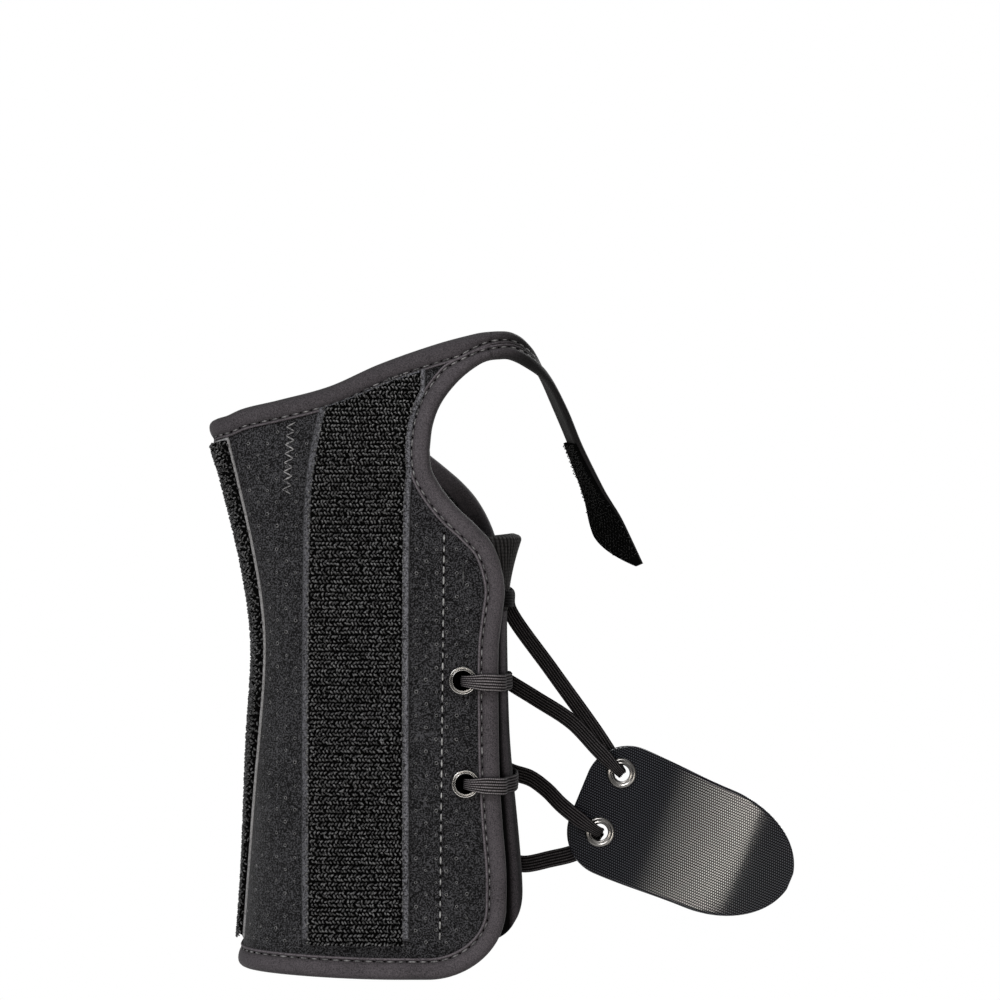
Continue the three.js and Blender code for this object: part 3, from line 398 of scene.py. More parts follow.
def napGroup():
    values = {"Fine": 1500.0, "Broad": 90.0, "Fleck": 0.5, "Middle": 0.5}
    tree, given, made = shaderGroup("clothNap", "Place", values)
    driftShare = 0.6
    fine = node(tree, "ShaderNodeTexNoise", {"Detail": 4.0})
    broad = node(tree, "ShaderNodeTexNoise", {"Detail": 2.0})
    links(tree, (given["Place"], fine.inputs["Vector"]), (given["Fine"], fine.inputs["Scale"]),
          (given["Place"], broad.inputs["Vector"]), (given["Broad"], broad.inputs["Scale"]))
    fleck = mathNode(tree, "MULTIPLY", mathNode(tree, "SUBTRACT", fine.outputs["Fac"], 0.5), given["Fleck"])
    drift = mathNode(tree, "MULTIPLY", mathNode(tree, "SUBTRACT", broad.outputs["Fac"], 0.5), driftShare)
    tone = mathNode(tree, "ADD", mathNode(tree, "ADD", fleck, drift), given["Middle"])
    links(tree, (tone, made["Tone"]), (fine.outputs["Fac"], made["Height"]))
    return tree


def weaveGroup():
    tree, given, made = shaderGroup("threadWeave", "Pattern", {"Thread": 1.0, "Row": 1.0, "Sharp": 1.0})
    roundness = 0.6
    split = node(tree, "ShaderNodeSeparateXYZ")
    links(tree, (given["Pattern"], split.inputs[0]))
    across = mathNode(tree, "DIVIDE", split.outputs["X"], given["Thread"])
    up = mathNode(tree, "DIVIDE", split.outputs["Y"], given["Row"])
    shifted = mathNode(tree, "ADD", across, mathNode(tree, "MULTIPLY", mathNode(tree, "FLOOR", up), 0.5))
    waves = (mathNode(tree, "ABSOLUTE", mathNode(tree, "SINE", mathNode(tree, "MULTIPLY", turn, math.pi)))
             for turn in (shifted, up))
    height = mathNode(tree, "MULTIPLY", *(mathNode(tree, "POWER", wave, roundness) for wave in waves))
    links(tree, (height, made["Height"]), (mathNode(tree, "POWER", height, given["Sharp"]), made["Tone"]))
    return tree


clothNap = napGroup()
threadWeave = weaveGroup()
finishSet = {"sheenRoughness": 0.45, "glossSpread": 0.06}


def placeGroup(tree, group, place, values):
    placed = node(tree, "ShaderNodeGroup", node_tree=group)
    for key, value in values.items():
        placed.inputs[key].default_value = value
    links(tree, (place, placed.inputs[0]))
    return placed.outputs["Tone"], placed.outputs["Height"]


# bump is (strength, depth in mm), weave is (thread, row, sharpness, share of the whole)
def finish(name, dark, light, roughness, bump, fine, broad, fleck, middle=0.5, weave=None, sheen=0.0,
           specular=0.3, metallic=0.0, shaded=False, glint=0.0):
    material = bpy.data.materials.new(name)
    material.use_nodes = True
    tree = material.node_tree
    shader = tree.nodes["Principled BSDF"].inputs
    for key, value in {"Roughness": roughness, "Metallic": metallic, "Specular IOR Level": specular,
                       "Sheen Weight": sheen, "Sheen Roughness": finishSet["sheenRoughness"]}.items():
        shader[key].default_value = value
    coords = node(tree, "ShaderNodeTexCoord").outputs
    tone, height = placeGroup(tree, clothNap, coords["Object"],
                              {"Fine": fine, "Broad": broad, "Fleck": fleck, "Middle": middle})
    if weave:
        across, row, sharp, share = weave
        woven = placeGroup(tree, threadWeave, coords["UV"], {"Thread": across, "Row": row, "Sharp": sharp})
        tone, height = (mathNode(tree, "ADD", mathNode(tree, "MULTIPLY", napped, 1 - share),
                                 mathNode(tree, "MULTIPLY", sewn, share))
                        for napped, sewn in zip((tone, height), woven))
    mix = node(tree, "ShaderNodeMix", {"A": (*dark, 1), "B": (*light, 1)}, data_type="RGBA")
    colour = mix.outputs["Result"]
    # the shade attribute scales the colour per vertex: painted shade and painted highlight
    if shaded:
        shade = node(tree, "ShaderNodeAttribute", attribute_name="shade")
        scale = node(tree, "ShaderNodeVectorMath", operation="SCALE")
        links(tree, (colour, scale.inputs[0]), (shade.outputs["Fac"], scale.inputs["Scale"]))
        colour = scale.outputs["Vector"]
    if glint:
        shader["Coat Roughness"].default_value = roughness
        links(tree, (mathNode(tree, "MULTIPLY", tone, glint), shader["Coat Weight"]))
    spread = finishSet["glossSpread"]
    gloss = node(tree, "ShaderNodeMapRange",
                 {"To Min": min(roughness + spread, 1.0), "To Max": roughness - spread})
    raised = node(tree, "ShaderNodeBump", {"Strength": bump[0], "Distance": bump[1] * mm})
    links(tree, (tone, mix.inputs["Factor"]), (colour, shader["Base Color"]),
          (tone, gloss.inputs["Value"]), (gloss.outputs["Result"], shader["Roughness"]),
          (height, raised.inputs["Height"]), (raised.outputs["Normal"], shader["Normal"]))
    return material


def threadFinish(name, dark, light, fine=1000.0, fleck=3.0):
    return finish(name, dark, light, roughness=0.5, bump=(0.5, 0.05), fine=fine, broad=300.0, fleck=fleck)


suede = finish("suedeCloth", (0.003, 0.003, 0.0033), (0.053, 0.053, 0.058), roughness=0.95, bump=(1.0, 0.3),
               fine=2200.0, broad=130.0, fleck=6.5, middle=0.3, sheen=0.1, specular=0.08)
# painted highlight: the perforation rims are set lighter than the suede, for the lit lips of the holes
paintedRimHighlight = finish("paintedRimHighlight", (0.033, 0.033, 0.034), (0.2, 0.2, 0.205), roughness=0.9, bump=(0.6, 0.2),
                  fine=2400.0, broad=130.0, fleck=3.4, sheen=0.1, specular=0.1)
tapeDark, tapeLight = (0.010, 0.0089, 0.0102), (0.083, 0.0742, 0.0825)
tape = finish("bindingTape", tapeDark, tapeLight, roughness=0.75, bump=(0.6, 0.12), fine=2600.0, broad=70.0,
              fleck=2.4, weave=(0.5, 0.5, 1.0, 0.25), sheen=0.06, specular=0.15, shaded=True)
tongueCloth = finish("tongueCloth", tapeDark, tapeLight, roughness=0.85, bump=(0.6, 0.12), fine=2600.0,
                     broad=70.0, fleck=2.4, specular=0.04, shaded=True)
pocketCloth = finish("pocketCloth", (0.006, 0.0058, 0.0066), (0.146, 0.147, 0.164), roughness=0.75,
                     bump=(0.8, 0.15), fine=1900.0, broad=80.0, fleck=5.0, weave=(0.6, 0.45, 1.0, 0.3),
                     sheen=0.06, specular=0.15, shaded=True)
edgingCloth = finish("edgingCloth", (0.09, 0.089, 0.09), (0.33, 0.327, 0.335), roughness=0.7, bump=(0.6, 0.1),
                     fine=1600.0, broad=80.0, fleck=2.0, weave=(0.6, 0.45, 1.0, 0.3), sheen=0.06,
                     specular=0.2)
pileBase = finish("pileGround", (0.0006, 0.0006, 0.0006), (0.002, 0.002, 0.002), roughness=0.95,
                  bump=(0.6, 0.2), fine=1500.0, broad=200.0, fleck=1.0, specular=0.02)
pileYarn = finish("pileYarn", (0.001, 0.001, 0.0011), (0.142, 0.142, 0.146), roughness=0.4, bump=(0.5, 0.06),
                  fine=1000.0, broad=400.0, fleck=5.0, specular=0.6)
# painted shade: the side pile is the same yarn as the palm pile, set darker
sideYarn = finish("sideYarn", (0.0008, 0.0008, 0.0009), (0.085, 0.085, 0.088), roughness=0.45,
                  bump=(0.5, 0.06), fine=1000.0, broad=400.0, fleck=6.0, middle=0.35, specular=0.4)
hookYarn = finish("hookYarn", (0.001, 0.001, 0.001), (0.007, 0.007, 0.007), roughness=0.5, bump=(0.3, 0.05),
                  fine=1500.0, broad=400.0, fleck=3.0, specular=0.2)
knitCloth = finish("cuffKnit", (0.0013, 0.0013, 0.0013), (0.03, 0.029, 0.029), roughness=0.85,
                   bump=(0.7, 0.3), fine=1500.0, broad=200.0, fleck=2.0, weave=(0.75, 1.1, 1.0, 0.6),
                   sheen=0.05, specular=0.1, shaded=True)
braidYarn = finish("laceBraid", (0.002, 0.0019, 0.002), (0.225, 0.208, 0.219), roughness=0.85,
                   bump=(0.8, 0.12), fine=1800.0, broad=150.0, fleck=2.4, weave=(0.7, 0.917, 1.0, 0.6),
                   specular=0.04, shaded=True)
tabWeave = finish("tabWeave", (0.0001, 0.0001, 0.0002), (0.056, 0.059, 0.071), roughness=0.11,
                  bump=(0.5, 0.012), fine=1500.0, broad=60.0, fleck=0.6, weave=(0.74, 0.82, 4.0, 0.94),
                  specular=0.05, glint=1.6)
thread = threadFinish("sewingThread", (0.035, 0.035, 0.037), (0.34, 0.335, 0.34))
tapeThread = threadFinish("tapeThread", (0.022, 0.022, 0.023), (0.215, 0.21, 0.215))
brightThread = threadFinish("brightThread", (0.07, 0.07, 0.072), (0.42, 0.42, 0.42), fleck=2.6)
darkThread = threadFinish("darkThread", (0.012, 0.012, 0.013), (0.11, 0.11, 0.112), fine=800.0, fleck=3.4)
# painted shade: near-black plugs standing in for the dark of the perforations and stitch holes
paintedHoleShade = finish("paintedHoleShade", (0.0005, 0.0005, 0.0005), (0.0015, 0.0015, 0.0015), roughness=0.95,
                  bump=(0.1, 0.02), fine=2000.0, broad=200.0, fleck=0.5, specular=0.02)
nickel = finish("darkNickel", (0.19, 0.187, 0.184), (0.29, 0.285, 0.28), roughness=0.2, bump=(0.01, 0.01),
                fine=700.0, broad=200.0, fleck=0.3, specular=0.5, metallic=1.0)
brightNickel = finish("brightNickel", (0.19, 0.183, 0.176), (0.28, 0.268, 0.256), roughness=0.26,
                      bump=(0.03, 0.02), fine=900.0, broad=200.0, fleck=1.2, specular=0.5, metallic=1.0)
print("finishes ready")


# Geometry Nodes: small shapes set on points that carry their run, face and size
carriedKinds = (("run", "FLOAT_VECTOR", "vector"), ("face", "FLOAT_VECTOR", "vector"),
                ("size", "FLOAT", "value"))


def pointsTree(name, sizes, shapeNodes):
    tree = bpy.data.node_groups.new(name, "GeometryNodeTree")
    tree.interface.new_socket("Geometry", in_out="INPUT", socket_type="NodeSocketGeometry")
    for label in sizes:
        tree.interface.new_socket(label, in_out="INPUT", socket_type="NodeSocketFloat")
    tree.interface.new_socket("Material", in_out="INPUT", socket_type="NodeSocketMaterial")
    tree.interface.new_socket("Geometry", in_out="OUTPUT", socket_type="NodeSocketGeometry")
    given, made = node(tree, "NodeGroupInput").outputs, node(tree, "NodeGroupOutput").inputs
    shape = shapeNodes(tree, given)
    run, face, size = (
        node(tree, "GeometryNodeInputNamedAttribute", {"Name": label}, data_type=kind).outputs["Attribute"]
        for label, kind, _ in carriedKinds)
    along = node(tree, "FunctionNodeAlignRotationToVector", axis="X")
    upright = node(tree, "FunctionNodeAlignRotationToVector", axis="Z", pivot_axis="X")
    place = node(tree, "GeometryNodeInstanceOnPoints")
    realize = node(tree, "GeometryNodeRealizeInstances")
    smooth = node(tree, "GeometryNodeSetShadeSmooth")
    paint = node(tree, "GeometryNodeSetMaterial")
    links(tree, (run, along.inputs["Vector"]), (along.outputs["Rotation"], upright.inputs["Rotation"]),
          (face, upright.inputs["Vector"]), (given["Geometry"], place.inputs["Points"]),
          (shape, place.inputs["Instance"]), (upright.outputs["Rotation"], place.inputs["Rotation"]),
          (size, place.inputs["Scale"]), (place.outputs["Instances"], realize.inputs["Geometry"]),
          (realize.outputs["Geometry"], smooth.inputs["Geometry"]),
          (smooth.outputs["Geometry"], paint.inputs["Geometry"]),
          (given["Material"], paint.inputs["Material"]), (paint.outputs["Geometry"], made["Geometry"]))
    return tree


def beadShape(tree, given):
    ball = node(tree, "GeometryNodeMeshUVSphere", {"Segments": 8, "Rings": 5, "Radius": 0.5})
    size, stretch = node(tree, "ShaderNodeCombineXYZ"), node(tree, "GeometryNodeTransform")
    links(tree, (given["Length"], size.inputs["X"]), (given["Width"], size.inputs["Y"]),
          (given["Height"], size.inputs["Z"]), (ball.outputs["Mesh"], stretch.inputs["Geometry"]),
          (size.outputs["Vector"], stretch.inputs["Scale"]))
    return stretch.outputs["Geometry"]


def circleNode(tree, sides, radius):
    circle = node(tree, "GeometryNodeCurvePrimitiveCircle", {"Resolution": sides}, mode="RADIUS")
    links(tree, (radius, circle.inputs["Radius"]))
    return circle.outputs["Curve"]


def swept(tree, curve, radius, capped):
    sweep = node(tree, "GeometryNodeCurveToMesh", {"Fill Caps": capped})
    links(tree, (curve, sweep.inputs["Curve"]), (circleNode(tree, 4, radius), sweep.inputs["Profile Curve"]))
    return sweep.outputs["Mesh"]


def archShape(tree, given):
    bow = node(tree, "GeometryNodeCurveQuadraticBezier", {"Resolution": 5})
    half = mathNode(tree, "MULTIPLY", given["Length"], 0.5)
    start, top, end = (node(tree, "ShaderNodeCombineXYZ") for _ in range(3))
    links(tree, (mathNode(tree, "MULTIPLY", half, -1.0), start.inputs["X"]), (half, end.inputs["X"]),
          (mathNode(tree, "MULTIPLY", given["Height"], 2.0), top.inputs["Z"]),
          (start.outputs[0], bow.inputs["Start"]), (top.outputs[0], bow.inputs["Middle"]),
          (end.outputs[0], bow.inputs["End"]))
    return swept(tree, bow.outputs["Curve"], given["Width"], True)


def rimShape(tree, given):
    return swept(tree, circleNode(tree, 9, given["Length"]), given["Width"], False)


def plugShape(tree, given):
    disc = node(tree, "GeometryNodeMeshCylinder", {"Vertices": 9})
    links(tree, (given["Length"], disc.inputs["Radius"]), (given["Height"], disc.inputs["Depth"]))
    return disc.outputs["Mesh"]


beadTree = pointsTree("sewnStitches", ("Length", "Width", "Height"), beadShape)
archTree = pointsTree("pileLoops", ("Length", "Width", "Height"), archShape)
rimTree = pointsTree("perforationRims", ("Length", "Width"), rimShape)
plugTree = pointsTree("perforationHoles", ("Length", "Height"), plugShape)


def growOn(name, tree, places, run, face, size, material, slot, values):
    mesh = bpy.data.meshes.new(name + "Points")
    mesh.from_pydata(np.asarray(places).tolist(), [], [])
    for (label, kind, field), data in zip(carriedKinds, (run, face, size)):
        carried = mesh.attributes.new(label, kind, "POINT")
        carried.data.foreach_set(field, np.asarray(data, np.float32).ravel())
    seed = bpy.data.objects.new(name + "Points", mesh)
    scene.collection.objects.link(seed)
    grow = seed.modifiers.new(name, "NODES")
    grow.node_group = tree
    sockets = {item.name: item.identifier for item in tree.interface.items_tree if item.in_out == "INPUT"}
    for label, value in values.items():
        grow[sockets[label]] = value * mm
    grow[sockets["Material"]] = material
    graph = bpy.context.evaluated_depsgraph_get()
    result = bpy.data.meshes.new_from_object(seed.evaluated_get(graph), depsgraph=graph)
    seed.modifiers.remove(grow)
    bpy.data.objects.remove(seed)
    bpy.data.meshes.remove(mesh)
    for label, _, _ in carriedKinds:
        if label in result.attributes:
            result.attributes.remove(result.attributes[label])
    result.name = name
    piece = bpy.data.objects.new(name, result)
    scene.collection.objects.link(piece)
    declare(piece, slot)


def joinInto(name, pieces):
    with bpy.context.temp_override(active_object=pieces[0], object=pieces[0], selected_objects=pieces,
                                   selected_editable_objects=pieces):
        bpy.ops.object.join()
    pieces[0].name = name
    pieces[0].data.name = name
    return pieces[0]


# wrap; each wave is (length round, length up, start, weight)
wrapSet = {
    "below": 116, "above": 30, "columns": 130, "endColumns": 13, "endShare": 0.045, "flapColumns": 46,
    "bridgeColumns": 30, "face": 1.02, "holeRadius": 3.5, "insideWave": 0.5, "wave": 0.2,
    "waves": [(8.3, 21.0, 0.0, 1.0), (-15.1, 12.7, 1.3, 1.0), (4.1, -7.7, 0.0, 0.6)],
}


def relief(s, z):
    waves = sum(weight * np.sin(s / a + z / b + start) for a, b, start, weight in wrapSet["waves"])
    return wrapSet["wave"] * waves / sum(row[3] for row in wrapSet["waves"])


def buildWrap():
    below, above, end = wrapSet["below"], wrapSet["above"], wrapSet["endShare"]
    split = (notchZ - cut["hem"]) / (float(topZ(0.0)) - cut["hem"])
    rises = np.r_[np.linspace(0, split, below + 1), np.linspace(split, 1, above + 1)[1:]]
    shares = np.r_[np.linspace(0, 1 - end, wrapSet["columns"]),
                   1 - end * (1 - np.sin(np.linspace(0, quarter, wrapSet["endColumns"])[1:]))]
    low, high = hemZ(shares)[:, None], topZ(shares)[:, None]
    bodyZ = low + rises * (high - low)
    bodyS = wrapAt(shares[:, None], bodyZ)
    lower = throughPoints(thumbLower, wrapSet["flapColumns"])
    flapS = np.repeat(lower[:, :1], below + 1, 1)
    flapZ = flapHemZ(flapS) + np.linspace(0, 1, below + 1) * (lower[:, 1:] - flapHemZ(flapS))
    upper = throughPoints(thumbUpper, wrapSet["bridgeColumns"])
    bridgeS = np.repeat(upper[:, :1], above + 1, 1)
    bridgeZ = upper[:, 1:] + np.linspace(0, 1, above + 1) * (bridgeTopZ(upper[:, :1]) - upper[:, 1:])
    bodyIds = gridIds(bodyS.shape)
    flapIds = bodyS.size + gridIds(flapS.shape)
    flapIds[0] = bodyIds[0, :below + 1]
    bridgeIds = bodyS.size + flapS.size + gridIds(bridgeS.shape)
    bridgeIds[0] = bodyIds[0, below:]
    cells = np.concatenate([gridCells(bodyIds)[:, ::-1], gridCells(flapIds), gridCells(bridgeIds)])
    s = np.concatenate([bodyS.ravel(), swell(flapS, flapZ).ravel(), bridgeS.ravel()])
    z = np.concatenate([bodyZ.ravel(), flapZ.ravel(), bridgeZ.ravel()])
    cells = clearOf(eyeletSpots.values(), wrapSet["holeRadius"], cells, s, z)
    corners = np.stack([s[cells], z[cells]], -1)
    turned = np.roll(corners, -1, 1)
    area = 0.5 * np.abs((corners[..., 0] * turned[..., 1] - corners[..., 1] * turned[..., 0]).sum(1)).sum()
    wave = relief(s, z)
    piece = wallPiece("wrapCloth", surf(s, z, wrapSet["face"] + wave),
                      surf(s, z, wave * wrapSet["insideWave"] - wrapSet["face"]), suede, (s, z), cells=cells)
    declare(piece, "suede_cloth", "wrap")
    return piece, area


wrapPiece, wrapArea = buildWrap()
print("wrap", round(wrapArea), "square mm")

# edge runs, as (s, z) lines
edgeSet = {"cornerShare": 0.05, "cornerSteps": 40, "longSteps": 380, "joinDrop": 6.3, "joinSteps": 12,
           "bridgeSteps": 60, "backSteps": 180, "flapSteps": 120, "lacingSteps": 120, "thumbSteps": (120, 90),
           "step": 0.9}


def flatLine(s, z):
    return np.column_stack(np.broadcast_arrays(s, z))


def edgeRuns():
    corner = edgeSet["cornerShare"]
    share = np.r_[1 - corner * (1 - np.cos(np.linspace(0, quarter, edgeSet["cornerSteps"]))),
                  np.linspace(1 - corner, 0, edgeSet["longSteps"])[1:]]
    topCorner = float(topZ(1.0))
    joinUp = np.linspace(topCorner - edgeSet["joinDrop"], topCorner, edgeSet["joinSteps"])[:-1]
    bridge = np.linspace(notchS, thumbUpper[-1, 0], edgeSet["bridgeSteps"])[1:]
    topRun = np.vstack([flatLine(backEdge(joinUp), joinUp), flatLine(wrapAt(share, topZ(share)), topZ(share)),
                        flatLine(bridge, bridgeTopZ(bridge))])
    down = np.linspace(joinUp[0], float(hemZ(1.0)), edgeSet["backSteps"])
    flap = notchS + (lacingEdgeS - notchS) * np.sin(np.linspace(0, quarter, edgeSet["flapSteps"])[1:])
    lacing = np.linspace(cut["hem"] + cut["palmCorner"], lacingTopZ, edgeSet["lacingSteps"])
    lowerSteps, upperSteps = edgeSet["thumbSteps"]
    thumb = np.vstack([throughPoints(thumbLower, lowerSteps)[::-1], throughPoints(thumbUpper, upperSteps)])
    front = np.vstack([flatLine(flap, flapHemZ(flap)), flatLine(lacingEdgeS, lacing), thumb])
    edgeRun = np.vstack([flatLine(backEdge(down), down), flatLine(wrapAt(share, hemZ(share)), hemZ(share)),
                         flatLine(swell(front[:, 0], front[:, 1]), front[:, 1])])
    return evenSteps(topRun, edgeSet["step"]), evenSteps(edgeRun, edgeSet["step"]), thumb


topRun, edgeRun, thumbLine = edgeRuns()

# web strap's line from the bridge round to the back, as place, outward look and width
strapSet = {
    "rows": np.array([
        (34.2, -5.9, 82.3, 0.16, -0.96, 0.20, 9.4), (41.0, -4.0, 82.4, 0.35, -0.82, 0.42, 9.6),
        (47.6, 2.0, 78.6, 0.68, -0.42, 0.58, 9.8), (52.6, 10.0, 72.8, 0.76, 0.02, 0.64, 9.8),
        (57.8, 16.5, 62.6, 0.79, 0.24, 0.56, 9.8), (63.3, 20.5, 49.6, 0.86, 0.30, 0.41, 9.8),
        (69.8, 22.0, 34.6, 0.76, 0.55, 0.34, 9.8), (74.1, 21.6, 23.2, 0.34, 0.93, 0.14, 11.2),
        (80.2, 20.6, 9.2, 0.22, 0.97, 0.09, 11.6)]),
    "stations": 130, "across": 15, "core": 1.0, "least": 0.4, "overhang": 1.4,
    "slant": 15.4, "endCurve": 1.6, "tip": 2.4,
}


def strapStations():
    rows = strapSet["rows"]
    share = np.linspace(0, 1, strapSet["stations"])
    key = np.linspace(0, 1, len(rows))
    place = throughPoints(rows[:, :3], strapSet["stations"])
    run = unit(np.gradient(place, axis=0))
    look = np.stack([smoothRead(key, rows[:, k], share) for k in (3, 4, 5)], -1)
    look = unit(look - (look * run).sum(1, keepdims=True) * run)
    reach = reachAlong(place)
    half = smoothRead(key, rows[:, 6], share) / 2
    slanted = np.clip(1 - (reach[-1] - reach) / strapSet["slant"], 0, 1) ** strapSet["endCurve"]
    cutOff = slanted * (2 * half - strapSet["tip"])
    up = np.cross(look, run)
    return {"share": share, "place": place - up * (cutOff / 2)[:, None], "run": run, "look": look, "up": up,
            "half": half - cutOff / 2, "reach": reach}


strap = strapStations()

# binding tapes, folded over the cut edges and along the strap
# section rows are (share of the width, inset, height, share of the dip between stitches)
tapeSet = {
    "width": 5.6, "bridgeShare": 0.985, "bridgeSamples": 200,
    "strapSkip": 4, "strapShare": 0.97, "strapLeast": 0.9, "strapThin": 0.55, "thinRun": (6.0, 34.0),
    "paintedStrapShade": 0.88, "strapShadeRun": (-6.0, 13.0), "easing": 6, "easeSpan": 8,
    "stitchPitch": 3.45, "stitchIn": 1.15, "stitchLift": (1.5, 2.5), "stitchPast": 14.0,
    "stitch": {"Length": 2.3, "Width": 0.54, "Height": 0.5}, "pit": {"Length": 0.3, "Height": 0.2},
    # shade rows are painted light across the tape: painted shadow on the inner wall, painted highlight on the
    # bead, painted shade in the stitch dip and towards the outer fold
    "shade": [0.15, 0.5, 2.0, 2.2, 1.3, 0.45, 0.4, 0.85, 1.2, 1.2, 1.2, 1.15, 1.05, 0.8, 0.6, 0.5, 0.5],
    "outer": [(1, 0, 1.0, 0), (1, 0.05, 1.45, 0), (1, -0.08, 1.76, 0), (1, -0.34, 1.86, 0),
              (1, -0.62, 1.74, 0.06), (1, -0.9, 1.54, 0.2), (1, -1.2, 1.54, 0.22), (1, -1.55, 1.72, 0.14),
              (0.8, -1.24, 2.04, 0.05), (0.6, -0.93, 2.26, 0), (0.4, -0.62, 2.36, 0), (0.2, -0.31, 2.34, 0),
              (0.02, 0, 2.2, 0), (0, -0.5, 1.88, 0), (0, -1.0, 1.3, 0), (0, -1.3, 0.62, 0), (0, -1.4, 0, 0)],
    "inner": [(0, -1.3, -0.62, 0), (0, -1.0, -1.3, 0), (0, -0.4, -1.85, 0), (0.2, -0.3, -2.05, 0),
              (0.6, -0.9, -2.05, 0), (1, -1.2, -1.8, 0), (1, -0.3, -1.76, 0), (1, 0, -1.45, 0),
              (1, 0, -1.0, 0), (0, 0.3, -1.0, 0), (0, -0.6, -0.5, 0), (0, -0.6, 0.5, 0), (0, 0.3, 1.0, 0)],
}
stitchSize = (0.78, 1.12)


def tapeSection(width, dip):
    rows = np.array(tapeSet["outer"] + tapeSet["inner"])
    return rows[:, 0] * width[:, None] + rows[:, 1], rows[:, 2] - rows[:, 3] * dip[:, None]


def wrapTape(run, turn):
    step = np.gradient(run, axis=0)
    inward = turn * unit(np.stack([-step[:, 1], step[:, 0]], -1))
    return lambda d, t: surf(run[:, :1] + inward[:, :1] * d, run[:, 1:] + inward[:, 1:] * d, t)


def strapTape(side):
    skip = tapeSet["strapSkip"]
    place, up, look, half, reach = (strap[k][skip:] for k in ("place", "up", "look", "half", "reach"))
    half = half - strapSet["overhang"]
    thin = 1 - (1 - tapeSet["strapThin"]) * smoothStep(*tapeSet["thinRun"], reach)
    return lambda d, t: (place[:, None] + (side * (half[:, None] - d))[..., None] * up[:, None]
                         + (t * thin[:, None])[..., None] * look[:, None]) * mm


# painted shade: the tape and strap colour darkens past the bridge, where the strap turns away from the light
def paintedStrapShade(past):
    return 1 - tapeSet["paintedStrapShade"] * smoothStep(*tapeSet["strapShadeRun"], past)


def bridgeWidth(run):
    onBridge = (run[:, 0] > notchS) & (run[:, 1] > notchZ)
    upper = throughPoints(thumbUpper, tapeSet["bridgeSamples"])
    half = (bridgeTopZ(run[:, 0]) - np.interp(run[:, 0], upper[:, 0], upper[:, 1])) / 2
    return np.where(onBridge, np.minimum(tapeSet["width"], half * tapeSet["bridgeShare"]), tapeSet["width"])


def stitchLine(line, face, pitch, offset, until):
    reach = reachAlong(line)
    index = np.arange(int(reach[-1] / (pitch * mm)))
    at = (index[index * pitch < until] + offset) * pitch * mm
    run = unit(np.gradient(line, axis=0))
    return readAlong(reach, line, at), unit(readAlong(reach, run, at)), unit(readAlong(reach, face, at))


def sewStitches(name, line, face, pitch, sizes, material, slot, until=math.inf):
    places, run, out = stitchLine(line, face, pitch, 0.5, until)
    spread = np.random.default_rng(len(places)).uniform(*stitchSize, len(places))
    growOn(name, beadTree, places, run, out, spread, material, slot, sizes)


# the pits are painted shade in the needle holes
def sewPits(name, line, face, pitch, sizes, slot, until=math.inf):
    places, run, out = stitchLine(line, face, pitch, 0.0, until)
    growOn(name, plugTree, places, run, out, np.ones(len(places)), paintedHoleShade, slot, sizes)


def buildTape(name, line, turn, nodeName, tone):
    seam, pitch, span = len(line), tapeSet["stitchPitch"], tapeSet["easeSpan"]
    strapWide = (strap["half"][tapeSet["strapSkip"]:] - strapSet["overhang"]) * tapeSet["strapShare"]
    wide = np.r_[bridgeWidth(line), np.clip(strapWide, tapeSet["strapLeast"], tapeSet["width"])]
    onWrap, onStrap = wrapTape(line, turn), strapTape(-turn)

    def place(d, t):
        return np.concatenate([onWrap(d[:seam], t[:seam]), onStrap(d[seam:], t[seam:])])

    flat = np.zeros((len(wide), 1))
    reach = reachAlong(place(flat, flat)[:, 0]) / mm
    d, t = tapeSection(wide, 0.5 + 0.5 * np.cos(2 * math.pi * reach / pitch))
    rings = place(d, t)
    for _ in range(tapeSet["easing"]):
        part = rings[seam - span - 1:seam + span + 1].copy()
        rings[seam - span:seam + span] = (part[:-2] + 2 * part[1:-1] + part[2:]) / 4
    sides = rings.shape[1]
    # painted shade and highlight across the tape, times tone, with painted shade past the bridge onto the
    # strap
    acrossShade = np.ones(sides)
    acrossShade[:len(tapeSet["shade"])] = tapeSet["shade"]
    shade = tone * acrossShade * paintedStrapShade(reach - reach[seam])[:, None]
    stitchAt = (wide - tapeSet["stitchIn"])[:, None]
    under, over = (place(stitchAt, np.full_like(stitchAt, lift))[:, 0] for lift in tapeSet["stitchLift"])
    face, until = over - under, reach[seam] + tapeSet["stitchPast"]
    sewStitches(name + "Stitches", under, face, pitch, tapeSet["stitch"], tapeThread, "binding", until)
    sewPits(name + "Pits", under, face, pitch, tapeSet["pit"], "binding", until)
    pieces = []
    for label, a, b in (("", 0, seam + 1), ("Strap", seam, len(rings))):
        uv = np.stack(np.broadcast_arrays(reach[a:b, None], d[a:b]), -1).reshape(-1, 2)
        faces = ringFaces(b - a, sides, turn < 0)
        pieces.append(makePiece(name + label, rings[a:b].reshape(-1, 3), faces, tape, uv, shade[a:b]))
    declare(pieces[0], "binding", nodeName)
    return pieces[1]


# tone is painted shade: the top tape is the same tape as the edge tape, set darker
upperStrapTape = buildTape("topTape", topRun, -1, "top_binding", 0.8)
lowerStrapTape = buildTape("edgeTape", edgeRun, 1, "edge_binding", 1.0)
print("tapes")

# hook face inside the strap's end
hookSet = {"from": 0.6, "margin": 0.15, "least": 0.6, "depth": (1.0, 2.0), "start": 0.8, "end": 2.6,
           "pitch": 1.05, "pitchAcross": 1.0, "inset": (0.5, 0.4), "stray": 0.15, "root": 1.8, "lean": 0.6,
           "size": (0.8, 1.15), "seed": 11, "loop": {"Length": 0.9, "Width": 0.14, "Height": 1.0}}
strapRows = np.sin(np.linspace(-quarter, quarter, strapSet["across"]))


def acrossStrap(half, keep):
    reached = (strapRows * half[:, None])[..., None] * strap["up"][keep][:, None]
    return strap["place"][keep][:, None] + reached, strap["look"][keep][:, None]


